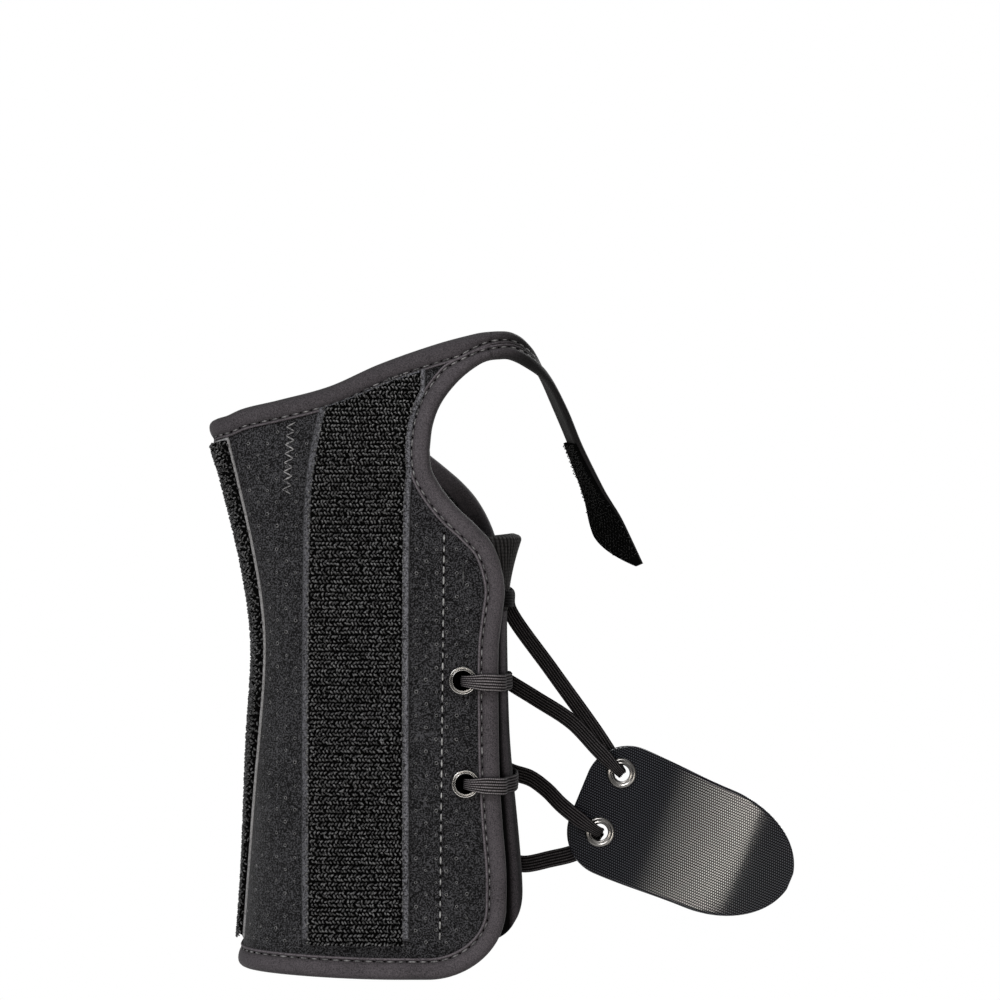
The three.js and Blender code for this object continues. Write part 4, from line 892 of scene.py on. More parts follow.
def buildStrap():
    whole = slice(None)
    spread, look = acrossStrap(np.maximum(strap["half"] - strapSet["overhang"], strapSet["least"]), whole)
    lift = strapSet["core"] * look
    pattern = (strap["reach"][:, None], strapRows * strap["half"][:, None])
    # the strap core carries the same painted shade along its length
    core = wallPiece("strapCore", (spread + lift) * mm, (spread - lift) * mm, tape, pattern,
                     np.repeat(paintedStrapShade(strap["reach"]), strapRows.size))
    declare(joinInto("webStrap", [core, upperStrapTape, lowerStrapTape]), "binding", "web_strap")


def buildHooks():
    keep = strap["share"] >= hookSet["from"]
    half, reach = strap["half"][keep] - hookSet["margin"], strap["reach"][keep]
    spread, look = acrossStrap(np.maximum(half, hookSet["least"]), keep)
    outer, inner = ((spread - depth * look) * mm for depth in hookSet["depth"])
    declare(wallPiece("hookPatch", outer, inner, pileBase), "hook_pile", "strap_hook")
    rng = np.random.default_rng(hookSet["seed"])
    spots = []
    across, stray = hookSet["pitchAcross"], hookSet["stray"]
    rows = np.arange(reach[0] + hookSet["start"], reach[-1] - hookSet["end"], hookSet["pitch"])
    for k, at in enumerate(rows):
        width = np.interp(at, reach, half)
        first = -width + hookSet["inset"][0] + across / 2 * (k % 2)
        for v in np.arange(first, width - hookSet["inset"][1], across):
            spots.append((at + rng.uniform(-stray, stray), v + rng.uniform(-stray, stray)))
    at, v = np.array(spots).T
    place, up, run, look = (readAlong(strap["reach"], strap[k], at) for k in ("place", "up", "run", "look"))
    out = -unit(look)
    lean = unit(run + rng.normal(0, hookSet["lean"], (len(at), 3)))
    growOn("hookLoops", archTree, (place + v[:, None] * up + hookSet["root"] * out) * mm, lean, out,
           rng.uniform(*hookSet["size"], len(at)), hookYarn, "hook_pile", hookSet["loop"])


buildStrap()
buildHooks()
print("strap")

# strips down the front and the left side
stripSet = {
    "leanZ": [-110, 30, 48, 66], "lean": [0, 0, 1.6, 5.2], "headZ": 60.0,
    "ulnarZ": [-109, -93, -77, -62, -42, -19, 0, 20, 39, 53],
    "ulnarX": [-43.0, -41.9, -40.7, -39.5, -37.6, -36.0, -37.1, -40.7, -45.3, -48.9], "ulnarWidth": 27.0,
    "columns": 40, "rows": 170, "footReach": 9.0, "lip": 0.25, "wave": 0.4, "edgeShade": 0.3,
    "edgeReach": 0.7,
}
# the pocket's shade is painted light: darker on the left side, lighter on the right
pocketSet = {"width": 34.0, "thumbClear": 4.6, "foot": -106.6, "gap": 4.4, "low": 0.9, "high": 1.95,
             "round": 0.8, "shade": (0.72, 1.18)}
palmSet = {"width": 29.5, "thumbClear": 6.5, "foot": -108.0, "gap": 4.9, "low": 1.2, "high": 2.75,
           "round": 0.7}
palmPileSet = {"foot": -108.0, "gap": 4.9, "base": 2.75, "height": 1.0, "stray": 1.0, "seed": 3}
backingSet = {"foot": -108.5, "gap": 5.9, "low": 0.9, "high": 1.75, "round": 0.5}
sideSet = {"inset": 0.45, "foot": -107.6, "gap": 6.7, "low": 1.2, "high": 3.0, "round": 0.7}
sidePileSet = {"inset": 0.25, "foot": -107.9, "gap": 6.3, "base": 3.25, "height": 0.5, "stray": 3.2,
               "seed": 5}
pileSet = {"pitchAcross": 1.12, "pitchUp": 1.34, "stagger": 0.5, "start": 0.7, "end": 92.0, "edge": 0.05,
           "headClear": 0.3, "scatterAcross": 0.12, "scatterUp": 0.1, "rowShift": 0.07, "shoulder": 1.5,
           "shoulderCurve": 1.5, "shoulderLean": 1.1, "shoulderDrop": 1.1, "angle": 0.85,
           "angleScatter": 0.25, "lean": 0.14, "sunk": 0.15, "size": (0.88, 1.15), "length": 0.98,
           "width": 0.27}
ulnarS = np.array([roundAt(x, True, z) for x, z in zip(stripSet["ulnarX"], stripSet["ulnarZ"])])


def besideThumb(z, clear):
    drop = thumbLine[:, 1] - np.asarray(z, float)[..., None]
    return np.min(thumbLine[:, 0] - np.sqrt(np.maximum(0, clear**2 - drop**2)), -1)


def palmLine(z):
    return smoothRead(stripSet["leanZ"], stripSet["lean"], z)


def palmSides(strip):
    half = strip["width"] / 2
    return (lambda z: palmLine(z) - half,
            lambda z: np.minimum(palmLine(z) + half, besideThumb(z, strip["thumbClear"])))


def ulnarSides(inset=0.0):
    def right(z):
        return smoothRead(stripSet["ulnarZ"], ulnarS, z)
    return lambda z: right(z) - stripSet["ulnarWidth"] + inset, lambda z: right(z) - inset


def stripHead(left, right, f, gap):
    z = stripSet["headZ"]
    s = left(z) + f * (right(z) - left(z))
    return topZ(shareAt(s, topZ(shareAt(s, z)))) - gap


def buildStrip(name, sides, strip, material, slot, nodeName):
    left, right = sides
    f = 0.5 - 0.5 * np.cos(np.linspace(0, math.pi, stripSet["columns"]))
    head = stripHead(left, right, f, strip["gap"])[:, None]
    z = strip["foot"] + np.linspace(0, 1, stripSet["rows"]) * (head - strip["foot"])
    toLeft, width = f[:, None] * (right(z) - left(z)), right(z) - left(z)
    s = left(z) + toLeft
    inset = np.minimum(np.minimum(toLeft, right(z) - s), np.minimum(z - strip["foot"], stripSet["footReach"]))
    low = strip["low"] + stripSet["lip"]
    outer = low + (strip["high"] - low) * rounded(inset, strip["round"]) + stripSet["wave"] * relief(s, z)
    # painted light: the pocket's colour rises from its left side to its right, and painted shade darkens it
    # along its edges
    shade = None
    if "shade" in strip:
        first, last = strip["shade"]
        edge = stripSet["edgeShade"]
        across = first + (last - first) * toLeft / width
        shade = across * (edge + (1 - edge) * smoothStep(0, stripSet["edgeReach"], inset))
    piece = wallPiece(name, surf(s, z, outer), surf(s, z, strip["low"]), material, (s, z), shade)
    declare(piece, slot, nodeName)


def buildPile(name, sides, pile, yarn):
    left, right = sides
    rng = np.random.default_rng(pile["seed"])
    headLeft, headRight = left(stripSet["headZ"]), right(stripSet["headZ"])
    spots = []
    for k, z in enumerate(np.arange(pile["foot"] + pileSet["start"], pileSet["end"], pileSet["pitchUp"])):
        first = float(left(z)) + pileSet["edge"] + pileSet["stagger"] * (k % 2)
        s = np.arange(first, float(right(z)) - pileSet["edge"], pileSet["pitchAcross"])
        f = np.clip((s - headLeft) / (headRight - headLeft), 0, 1)
        below = z < stripHead(left, right, f, pile["gap"]) - pileSet["headClear"]
        spots += [(x, z, (-1) ** k) for x in s[below]]
    s, z, slant = np.array(spots).T
    count, stray = len(s), pile["stray"]
    s = s + rng.normal(0, pileSet["scatterAcross"], count)
    z = z + rng.normal(0, pileSet["scatterUp"] * stray, count) - pileSet["rowShift"] * slant
    toLeft, toRight = s - left(z), right(z) - s
    over = (1 - np.clip(np.minimum(toLeft, toRight) / pileSet["shoulder"], 0, 1)) ** pileSet["shoulderCurve"]
    lean = np.where(toLeft < toRight, -over, over)[:, None] * pileSet["shoulderLean"]
    base = pile["base"] - pileSet["shoulderDrop"] * over
    along, up = (unit(run) for run in runsAt(s, z, base))
    angle = slant * (pileSet["angle"] + rng.normal(0, pileSet["angleScatter"] * stray, count))
    run = unit(along * np.cos(angle)[:, None] + up * np.sin(angle)[:, None])
    out = facing(s, z) + lean * along + rng.normal(0, pileSet["lean"], (count, 3))
    sizes = {"Length": pileSet["length"], "Width": pileSet["width"], "Height": pile["height"]}
    growOn(name, archTree, surf(s, z, base - pileSet["sunk"]), run, out, rng.uniform(*pileSet["size"], count),
           yarn, "loop_pile", sizes)


pocketSides, palmPileSides, backingSides = palmSides(pocketSet), palmSides(palmSet), ulnarSides()
buildStrip("stayPocket", pocketSides, pocketSet, pocketCloth, "binding", "stay_pocket")
buildStrip("palmPileGround", palmPileSides, palmSet, pileBase, "loop_pile", "palm_loop")
buildPile("palmPile", palmPileSides, palmPileSet, pileYarn)
buildStrip("ulnarBacking", backingSides, backingSet, edgingCloth, "binding", "ulnar_backing")
buildStrip("ulnarPileGround", ulnarSides(sideSet["inset"]), sideSet, pileBase, "loop_pile", "ulnar_loop")
buildPile("ulnarPile", ulnarSides(sidePileSet["inset"]), sidePileSet, sideYarn)
print("strips")

# tongue under the lacing, and its knitted cuff
# the tongue's shade keys set painted shade across it
tongueSet = {"underlap": 20.0, "span": 106.7, "top": -3.0, "footPalm": -107.5, "footBack": -92.0,
             "footZ": -100.0, "rise": (-0.03, 0.55), "columns": 70, "rows": 90, "outer": -5.3, "inner": -5.4,
             "puffOut": 0.8, "puffIn": 0.7, "round": 0.8, "wave": 0.5, "leastShade": 0.01, "mostShade": 0.9,
             "lightFrom": (6.0, 9.5), "dimFrom": (11.0, 15.5), "dim": 0.75}
cuffSet = {"low": -2.6, "high": 20.5, "crown": 1.2, "crownSpan": (1.3, -0.15), "underlap": 9.0,
           "columns": 330, "rows": 44, "flare": 4.1, "flareCurve": 1.8, "flareRound": 0.8, "flareLeast": 0.72,
           "roll": 2.6, "outer": -5.1, "outerFlare": 0.6, "puff": (0.6, 0.4), "inner": -5.3,
           "innerFlare": 0.5, "puffIn": 0.7, "ribPitch": 1.7, "ribSlant": 0.25, "ribHeight": 0.3,
           "grooveShade": 0.02, "crestLit": 1.6}


def gapShare(s, z):
    return np.clip((s - lacingEdgeS) / (backEdgeAhead(z) - lacingEdgeS), 0, 1)


def cuffFlare(s, z):
    rise = np.clip((z - cuffSet["low"]) / (cuffSet["high"] - cuffSet["low"]), 0, 1)
    return (cuffSet["flare"] * rise ** cuffSet["flareCurve"]
            * np.sin(gapShare(s, z) * math.pi) ** cuffSet["flareRound"])


def acrossGap(f, z, underlap):
    low, high = lacingEdgeS - underlap, backEdgeAhead(z) + underlap
    s = low + f * (high - low)
    return s, np.minimum(s - low, high - s)


def buildTongue():
    f = np.linspace(0, 1, tongueSet["columns"])[:, None]
    footShare = gapShare(lacingEdgeS - tongueSet["underlap"] + f * tongueSet["span"], tongueSet["footZ"])
    rise = smoothStep(*tongueSet["rise"], footShare)
    foot = tongueSet["footPalm"] + (tongueSet["footBack"] - tongueSet["footPalm"]) * rise
    z = foot + np.linspace(0, 1, tongueSet["rows"]) * (tongueSet["top"] - foot)
    s, toSide = acrossGap(f, z, tongueSet["underlap"])
    lift = rounded(np.minimum(z - foot, toSide), tongueSet["round"])
    outer = tongueSet["outer"] + tongueSet["puffOut"] * lift + tongueSet["wave"] * relief(s, z)
    # painted shade: dark beside the lacing tape, lighter past it and dimmer again towards the far edge
    beyond = s - swell(np.full_like(s, lacingEdgeS), z)
    shade = tongueSet["leastShade"] + (tongueSet["mostShade"] * smoothStep(*tongueSet["lightFrom"], beyond)
                                       * (1 - tongueSet["dim"] * smoothStep(*tongueSet["dimFrom"], beyond)))
    inner = tongueSet["inner"] - tongueSet["puffIn"] * lift
    tongue = wallPiece("tongueCloth", surf(s, z, outer), surf(s, z, inner), tongueCloth, (s, z), shade)
    declare(tongue, "binding", "tongue")


def buildCuff():
    f = np.linspace(0, 1, cuffSet["columns"])[:, None]
    spread, shift = cuffSet["crownSpan"]
    top = cuffSet["high"] + cuffSet["crown"] * np.sin(np.clip(f * spread + shift, 0, 1) * math.pi)
    z = cuffSet["low"] + np.linspace(0, 1, cuffSet["rows"]) * (top - cuffSet["low"])
    s, _ = acrossGap(f, z, cuffSet["underlap"])
    roll = rounded(top - z, cuffSet["roll"])
    flare = cuffFlare(s, z) * (cuffSet["flareLeast"] + (1 - cuffSet["flareLeast"]) * roll)
    rib = np.abs(np.sin(math.pi * (s + cuffSet["ribSlant"] * z) / cuffSet["ribPitch"]))
    puff, puffFlare = cuffSet["puff"]
    outer = (cuffSet["outer"] + cuffSet["outerFlare"] * flare + (puff + puffFlare * flare) * roll
             + cuffSet["ribHeight"] * rib)
    inner = cuffSet["inner"] + cuffSet["innerFlare"] * flare - cuffSet["puffIn"] * roll
    # painted shade in the rib grooves and painted highlight on the rib crests
    cuff = wallPiece("cuffKnit", surf(s, z, outer), surf(s, z, inner), knitCloth, (s, z),
                     cuffSet["grooveShade"] + cuffSet["crestLit"] * rib**2)
    declare(cuff, "knit", "tongue_cuff")


buildTongue()
buildCuff()
print("tongue")

# pull tab with its two eyelets
tabSet = {"origin": np.array([64.0, 5.97, -63.6]), "slope": math.radians(22.5), "length": 74.3,
          "halfWidth": 21.9, "tailHalfWidth": 20.7, "corner": 14.0, "tail": 29.3, "tailRound": 0.25,
          "bow": 5.0, "bowHalf": 36.0, "half": 0.85, "edgeRound": 0.7, "edgeLeast": 0.02, "endInset": 0.2,
          "steps": (24, 40, 30), "rows": 57, "holeRadius": 3.3,
          "eyelets": {"tab_eyelet_1": (10.05, 11.75), "tab_eyelet_2": (10.85, -8.65)}}
tabU = np.array([math.cos(tabSet["slope"]), 0, -math.sin(tabSet["slope"])])
tabV = np.array([math.sin(tabSet["slope"]), 0, math.cos(tabSet["slope"])])
tabFace = np.array([0, -1.0, 0])
tabStraight = tabSet["length"] - tabSet["tail"]


def tabAt(u, v, w):
    u, v, w = np.broadcast_arrays(*(np.asarray(a, float) for a in (u, v, w)))
    turn = (u - tabSet["length"] / 2) / tabSet["bowHalf"]
    slope = -2 * tabSet["bow"] * turn / tabSet["bowHalf"]
    normal = unit(tabFace - slope[..., None] * tabU)
    return (tabSet["origin"] + u[..., None] * tabU + v[..., None] * tabV
            + (tabSet["bow"] * (1 - turn**2))[..., None] * tabFace + w[..., None] * normal) * mm


def tabHalf(u):
    past = (u - tabStraight) / (tabSet["tail"] + tabSet["tailRound"])
    tail = tabSet["tailHalfWidth"] * np.sqrt(np.clip(1 - past**2, 0, 1))
    taper = smoothStep(tabSet["corner"], tabStraight, u)
    side = tabSet["halfWidth"] + (tabSet["tailHalfWidth"] - tabSet["halfWidth"]) * taper
    return np.where(u > tabStraight, tail, side - cornerRise(u, tabSet["corner"]))


def buildTab():
    cornerSteps, sideSteps, tailSteps = tabSet["steps"]
    u = np.r_[tabSet["corner"] * (1 - np.cos(np.linspace(0, quarter, cornerSteps)))[:-1],
              np.linspace(tabSet["corner"], tabStraight, sideSteps)[:-1],
              tabStraight + tabSet["tail"] * np.sin(np.linspace(0, quarter, tailSteps))]
    row = np.sin(np.linspace(-quarter, quarter, tabSet["rows"]))
    us = np.repeat(u[:, None], row.size, 1)
    vs = row * tabHalf(u)[:, None]
    toEnd = np.minimum(us, tabSet["length"] - us) + tabSet["endInset"]
    inset = np.minimum((1 - np.abs(row)) * tabHalf(u)[:, None], toEnd)
    half = tabSet["half"] * rounded(inset, tabSet["edgeRound"], tabSet["edgeLeast"])
    cells = clearOf(tabSet["eyelets"].values(), tabSet["holeRadius"], gridCells(gridIds(us.shape)), us, vs)
    piece = wallPiece("pullTab", tabAt(us, vs, half), tabAt(us, vs, -half), tabWeave, (us, vs), cells=cells)
    declare(piece, "webbing", "pull_tab")
    return piece


# eyelet profiles, as (radius, height)
ringSet = {
    "segments": 56, "patternRadius": 4.0,
    "cloth": [(3.05, -2.2), (3.05, 2.1), (3.14, 2.5), (3.32, 2.76), (3.5, 2.74), (3.64, 2.4), (3.8, 2.34),
              (3.94, 2.74), (4.16, 2.86), (4.4, 2.66), (4.56, 2.25), (4.58, 1.7), (4.5, 1.1), (4.0, 1.0),
              (3.45, 1.0), (3.45, -1.2), (4.05, -1.3), (4.2, -1.7), (3.85, -2.2), (3.35, -2.5)],
    "tab": [(2.7, -1.5), (2.7, 1.3), (2.78, 1.6), (3.0, 1.82), (3.25, 1.84), (3.5, 1.62), (3.7, 1.55),
            (3.95, 1.78), (4.3, 1.84), (4.65, 1.66), (4.86, 1.3), (4.88, 0.9), (4.6, 0.7), (3.2, 0.7),
            (3.2, -0.7), (4.5, -0.7), (4.7, -1.1), (4.4, -1.6), (3.4, -1.85), (2.9, -1.75)],
}


def buildEyelet(label, centre, axis, profile, material):
    segments = ringSet["segments"]
    axis = unit(axis)
    side = unit(np.cross(axis, [0.0, 0.0, 1.0]))
    other = np.cross(axis, side)
    turn = np.arange(segments) / segments * 2 * math.pi
    r, h = np.array(profile, float).T * mm
    ring = (np.cos(turn)[:, None, None] * side + np.sin(turn)[:, None, None] * other) * r[None, :, None]
    points = centre + ring + h[None, :, None] * axis
    ids = np.pad(gridIds(points.shape), ((0, 1), (0, 1)), "wrap")
    uv = np.stack(np.broadcast_arrays(turn[:, None] * ringSet["patternRadius"], h / mm), -1)
    name = label.replace("_", "") + "Ring"
    return makePiece(name, points.reshape(-1, 3), gridCells(ids), material, uv.reshape(-1, 2))


def buildEyelets():
    made = {}
    for label, (s, z) in eyeletSpots.items():
        axis = facing(np.array(s), np.array(z))
        made[label] = buildEyelet(label, surf(s, z, 0.0), axis, ringSet["cloth"], nickel)
    for label, (u, v) in tabSet["eyelets"].items():
        axis = tabAt(u, v, 1.0) - tabAt(u, v, 0.0)
        made[label] = buildEyelet(label, tabAt(u, v, 0.0), axis, ringSet["tab"], brightNickel)
    for label, piece in made.items():
        declare(piece, "nickel", label)
    return made


tabPiece = buildTab()
eyelets = buildEyelets()
print("tab and eyelets")

# flat braided laces; ways are (round, outwards) steps from an edge or an eyelet
laceSet = {
    "width": 5.5, "inHole": 3.6, "widenRun": (2.6, 10.0), "thickness": 1.2, "thicken": 0.3,
    "thinRun": (2.2, 7.0), "ribs": 6, "ribSteps": 4, "ribFloor": 0.55, "edgeCurve": 7, "edgeDrop": 0.72,
    "edgeX": 0.505,
    "grooveShade": 0.002, "crestLit": 1.45, "ribCurve": 4,
    "under": -3.48, "step": 0.7, "sag": 1.0, "sagFrom": (0.05, 0.4), "sagTo": (0.7, 0.95), "rise": (0.5, 0.9),
    "samples": 240, "easing": 18,
    # the two runs below are painted shade along a lace: darker by the eyelet, where it turns round the edge,
    # and behind the lacing edge
    "crossingDim": ((0, 4, 7, 13, 19), (0.5, 0.65, 1, 1, 0.4)), "strandDim": ((0, 17, 30), (0.15, 0.15, 1)),
    "upBack": [(-8, 0), (-4.5, 0), (-1.4, 0), (-0.4, 1.0), (-0.2, 2.2), (-0.2, 3.2)],
    # the top crossing's value is painted shade: the same braid, set darker
    "topZ": 1.5, "topUp": 2.75, "topLift": 0.2, "topCrossingShade": 0.2, "topStart": (-9, -3),
    "topShares": (0.02, 0.1, 0.2, 0.35, 0.5, 0.65, 0.8, 0.9, 0.98),
    "fromPalm": [(0.2, -0.6), (0.3, 1.4), (0.5, 3.1), (1.6, 4.4), (4.2, 4.2)],
    "overEdge": [(-3.2, 3.7), (-1, 3.7), (1.0, 3.5), (2.6, 2.6), (3.6, 1.0), (4.4, -0.7), (5.6, -2.3),
                 (7.8, -3.2)],
    "underShares": (0.3, 0.45, 0.6, 0.75, 0.9),
}


# tone and dimming darken the braid's colour as painted shade
def ribbon(name, path, across, nodeName, tone, dimming, fromHole=True):
    run = unit(np.gradient(path, axis=0))
    reach = reachAlong(path) / mm
    across = unit(across - (across * run).sum(1, keepdims=True) * run)
    face = np.cross(across, run)
    toEnd = reach[-1] - reach
    if fromHole:
        toEnd = np.minimum(toEnd, reach)
    widened = smoothStep(*laceSet["widenRun"], toEnd)
    width = laceSet["inHole"] + (laceSet["width"] - laceSet["inHole"]) * widened
    thick = laceSet["thickness"] * (1 + laceSet["thicken"] * (1 - smoothStep(*laceSet["thinRun"], toEnd)))
    x = np.linspace(-0.5, 0.5, laceSet["ribs"] * laceSet["ribSteps"] + 1)
    groove = np.abs(np.sin(math.pi * laceSet["ribs"] * (x + 0.5)))
    floor = laceSet["ribFloor"]
    edge = 1 - np.abs(2 * x) ** laceSet["edgeCurve"] * laceSet["edgeDrop"]
    h = 0.5 * (floor + (1 - floor) * groove) * edge
    ringX, ringH = np.r_[x, x[-2:0:-1]], np.r_[h, -h[-2:0:-1]]
    ringX[0], ringX[len(x) - 1] = -laceSet["edgeX"], laceSet["edgeX"]
    ringH[0] = ringH[len(x) - 1] = 0
    ringGroove = np.r_[groove, groove[-2:0:-1]]
    # painted shade in the grooves between the braid's ribs and painted highlight on their crests, times tone
    ringShade = tone * (laceSet["grooveShade"] + laceSet["crestLit"] * ringGroove ** laceSet["ribCurve"])
    points = (path[:, None] + (ringX * width[:, None] * mm)[..., None] * across[:, None]
              + (ringH * thick[:, None] * mm)[..., None] * face[:, None])
    uv = np.stack(np.broadcast_arrays(reach[:, None], ringX * laceSet["width"]), -1)
    faces = ringFaces(len(path), len(ringX), True)
    piece = makePiece(name, points.reshape(-1, 3), faces, braidYarn, uv.reshape(-1, 2),
                      np.interp(reach, *dimming)[:, None] * ringShade)
    declare(piece, "braid", nodeName)
    return piece, reach[-1]


def crossingPath(way, zFrom, zTo):
    middle = float(backEdgeAhead(zTo)) + eyeletSet["backIn"]
    way = np.array(way + [(middle + a, laceSet["under"] + b) for a, b in laceSet["upBack"]])
    share = np.linspace(0, 1, len(way))
    sag = laceSet["sag"] * smoothStep(*laceSet["sagFrom"], share) * (1 - smoothStep(*laceSet["sagTo"], share))
    rows = np.column_stack([way, zFrom + (zTo - zFrom) * smoothStep(*laceSet["rise"], share) - sag])
    fine = throughPoints(rows, laceSet["samples"])
    path = evenSteps(surf(fine[:, 0], fine[:, 2], fine[:, 1]), laceSet["step"] * mm)
    for _ in range(laceSet["easing"]):
        path[1:-1] = (path[:-2] + 2 * path[1:-1] + path[2:]) / 4
    return path


def gapAt(f, z):
    return lacingEdgeS + f * (float(backEdgeAhead(z)) - lacingEdgeS)


def buildCrossings():
    upright = np.array([0.0, 0.0, 1.0])
    under, backZ, high = laceSet["under"], eyeletSet["backZ"], laceSet["topZ"]
    way = [(lacingEdgeS + a, under) for a in laceSet["topStart"]]
    for s in (gapAt(f, high) for f in laceSet["topShares"]):
        way.append((s, under + laceSet["topLift"] + float(cuffFlare(s, high + laceSet["topUp"]))))
    path = crossingPath(way, high, backZ[0])
    ribbon("laceTopCrossing", path, upright, "lace_crossing_1", laceSet["topCrossingShade"], laceSet["strandDim"],
           fromHole=False)
    for k in (1, 2):
        s, z = eyeletSpots[f"palm_eyelet_{k}"]
        way = [(s + a, t) for a, t in laceSet["fromPalm"]]
        way += [(lacingEdgeS + a, t) for a, t in laceSet["overEdge"]]
        way += [(gapAt(f, z), under) for f in laceSet["underShares"]]
        path = crossingPath(way, z, backZ[k])
        ribbon(f"laceCrossing{k + 1}", path, upright, f"lace_crossing_{k + 1}", 1.0, laceSet["crossingDim"])


# free strands from the back eyelets to the tab: (drop at the edge, tab eyelet, way in x, y and z)
strandSet = {
    # tone is painted shade: the free strands are the same braid, set darker
    "tone": 0.27, "samples": 260, "routeSteps": 30,
    "start": [(-0.1, 0, 1.0), (-0.4, 0, 2.9), (-1.6, 0.1, 4.5), (-4.8, 0.35, 4.8), (-9, 0.7, 4.5),
              (-13.6, 1, 4.3)],
    "strands": [
        (-5.5, "tab_eyelet_1", [(41.4, 14, -4.2), (55.1, 10.5, -23.6), (69.1, 8.6, -43.1), (74, 8.2, -50.6),
                                (76.7, 8, -55), (77.6, 6.7, -56.4), (77.7, 4.9, -56.6)]),
        (-1.2, "tab_eyelet_1", [(41.9, 14, -28), (50.1, 9.5, -32.8), (61.5, 4.6, -40), (69.6, 1.6, -48.4),
                                (74, 0.6, -52.9), (76.4, 1.2, -55.4), (77.3, 2.5, -56.3),
                                (77.4, 3.4, -56.4)]),
        (-0.8, "tab_eyelet_2", [(43.2, 13, -57.4), (48.2, 9.5, -58.8), (53.4, 6.2, -62.4),
                                (57.9, 3.4, -66.8), (62.7, 1.4, -70.6), (67.3, 0.5, -73.8),
                                (69.6, 1.2, -75.2), (70.4, 2.6, -75.7), (70.5, 3.5, -75.8)]),
        (-0.4, "tab_eyelet_2", [(46.6, 13, -87.2), (54.1, 10.8, -85.4), (62.6, 9.2, -83), (67.6, 8.4, -79.6),
                                (70, 7.6, -76.8), (70.5, 6.3, -75.9), (70.5, 4.9, -75.8)]),
    ],
}


# a sideways direction carried along without twist
def carriedAlong(path, start):
    run = unit(np.gradient(path, axis=0))
    side = [start]
    for step in run:
        side.append(unit(side[-1] - side[-1].dot(step) * step))
    return np.array(side[1:])


def buildStrands():
    lengths = []
    for k, (drop, eyelet, way) in enumerate(strandSet["strands"], 1):
        s, z = eyeletSpots[f"back_eyelet_{k}"]
        start = [surf(s + a, z + b * drop, t) for a, b, t in strandSet["start"]]
        way = np.vstack([start, np.array(way) * mm])
        path = evenSteps(throughPoints(way, strandSet["samples"]), laceSet["step"] * mm)
        toward = surf(s - 1.0, z, 1.0) - surf(s, z, 1.0)
        run = unit(path[1] - path[0])
        face = unit(toward - toward.dot(run) * run)
        across = carriedAlong(path, np.cross(run, face))
        piece, length = ribbon(f"laceStrand{k}", path, across, f"lace_strand_{k}", strandSet["tone"],
                               laceSet["strandDim"])
        route = evenSteps(path, length * mm / strandSet["routeSteps"])
        lengths.append(round(length, 1))
    return lengths


buildCrossings()
print("laces", buildStrands())

# sewing on the wrap: the line beside the pocket, a zigzag and a bar tack
sewSet = {
    "lineX": (20.2, 19.0), "lineZ": (22.0, -108.0), "lineSteps": 80, "lineLift": 1.2, "pitLift": 1.12,
    "pitch": 3.4, "stitch": {"Length": 2.5, "Width": 0.62, "Height": 0.45},
    "pit": {"Length": 0.34, "Height": 0.26},
    "zigX": (-28.9, -29.9), "zigZ": (57.4, 34.4), "zigWide": 2.8, "zigPitch": 2.75, "zigLift": 1.3,
    "zigPast": 0.3, "zig": {"Width": 0.42, "Height": 0.4},
    "barX": 26.2, "barZ": (12.2, 5.4), "barSteps": 12, "barPitch": 0.9,
    "bar": {"Length": 1.6, "Width": 0.5, "Height": 0.45},
}


def buildSewing():
    z = np.linspace(*sewSet["lineZ"], sewSet["lineSteps"])
    s = np.array([roundAt(x, True, q) for x, q in zip(np.linspace(*sewSet["lineX"], len(z)), z)])
    line, face = surf(s, z, sewSet["lineLift"]), facing(s, z)
    sewStitches("palmStitches", line, face, sewSet["pitch"], sewSet["stitch"], brightThread, "suede_cloth")
    sewPits("palmPits", surf(s, z, sewSet["pitLift"]), face, sewSet["pitch"], sewSet["pit"], "suede_cloth")
    top, low = sewSet["zigZ"]
    count = int((top - low) / (sewSet["zigPitch"] / 2))
    zs = np.linspace(top, low, count + 1)
    xs = np.linspace(*sewSet["zigX"], count + 1) + sewSet["zigWide"] / 2 * (-1.0) ** np.arange(count + 1)
    corners = np.array([(roundAt(x, True, q), q) for x, q in zip(xs, zs)])
    s, z = ((corners[1:] + corners[:-1]) / 2).T
    run = np.diff(surf(corners[:, 0], corners[:, 1], sewSet["zigLift"]), axis=0)
    length = float(np.linalg.norm(run, axis=1).mean() / mm) + sewSet["zigPast"]
    growOn("zigzagStitches", beadTree, surf(s, z, sewSet["zigLift"]), unit(run), facing(s, z), np.ones(count),
           thread, "suede_cloth", {"Length": length, **sewSet["zig"]})
    z = np.linspace(*sewSet["barZ"], sewSet["barSteps"])
    s = np.array([roundAt(sewSet["barX"], True, q) for q in z])
    line, face = surf(s, z, sewSet["lineLift"]), facing(s, z)
    sewStitches("bartack", line, face, sewSet["barPitch"], sewSet["bar"], darkThread, "suede_cloth")


# perforations in staggered columns, clear of the edges, the eyelets and the strips
perforationSet = {
    "columns": 3.2, "rows": 7.5, "fromLacing": 9.0, "fromHem": 3.0, "top": 90.0, "seed": 7, "scatter": 0.06,
    "edgeClear": 8.2, "eyeletClear": 5.6, "pocketClear": 0.9, "ulnarClear": 1.2, "size": (0.6, 1.1),
    "samples": 200, "rim": {"Length": 0.41, "Width": 0.18}, "hole": {"Length": 0.31, "Height": 0.22},
}


def outsideStrip(s, z, sides, clear):
    left, right = sides
    return (s < left(z) - clear) | (s > right(z) + clear)


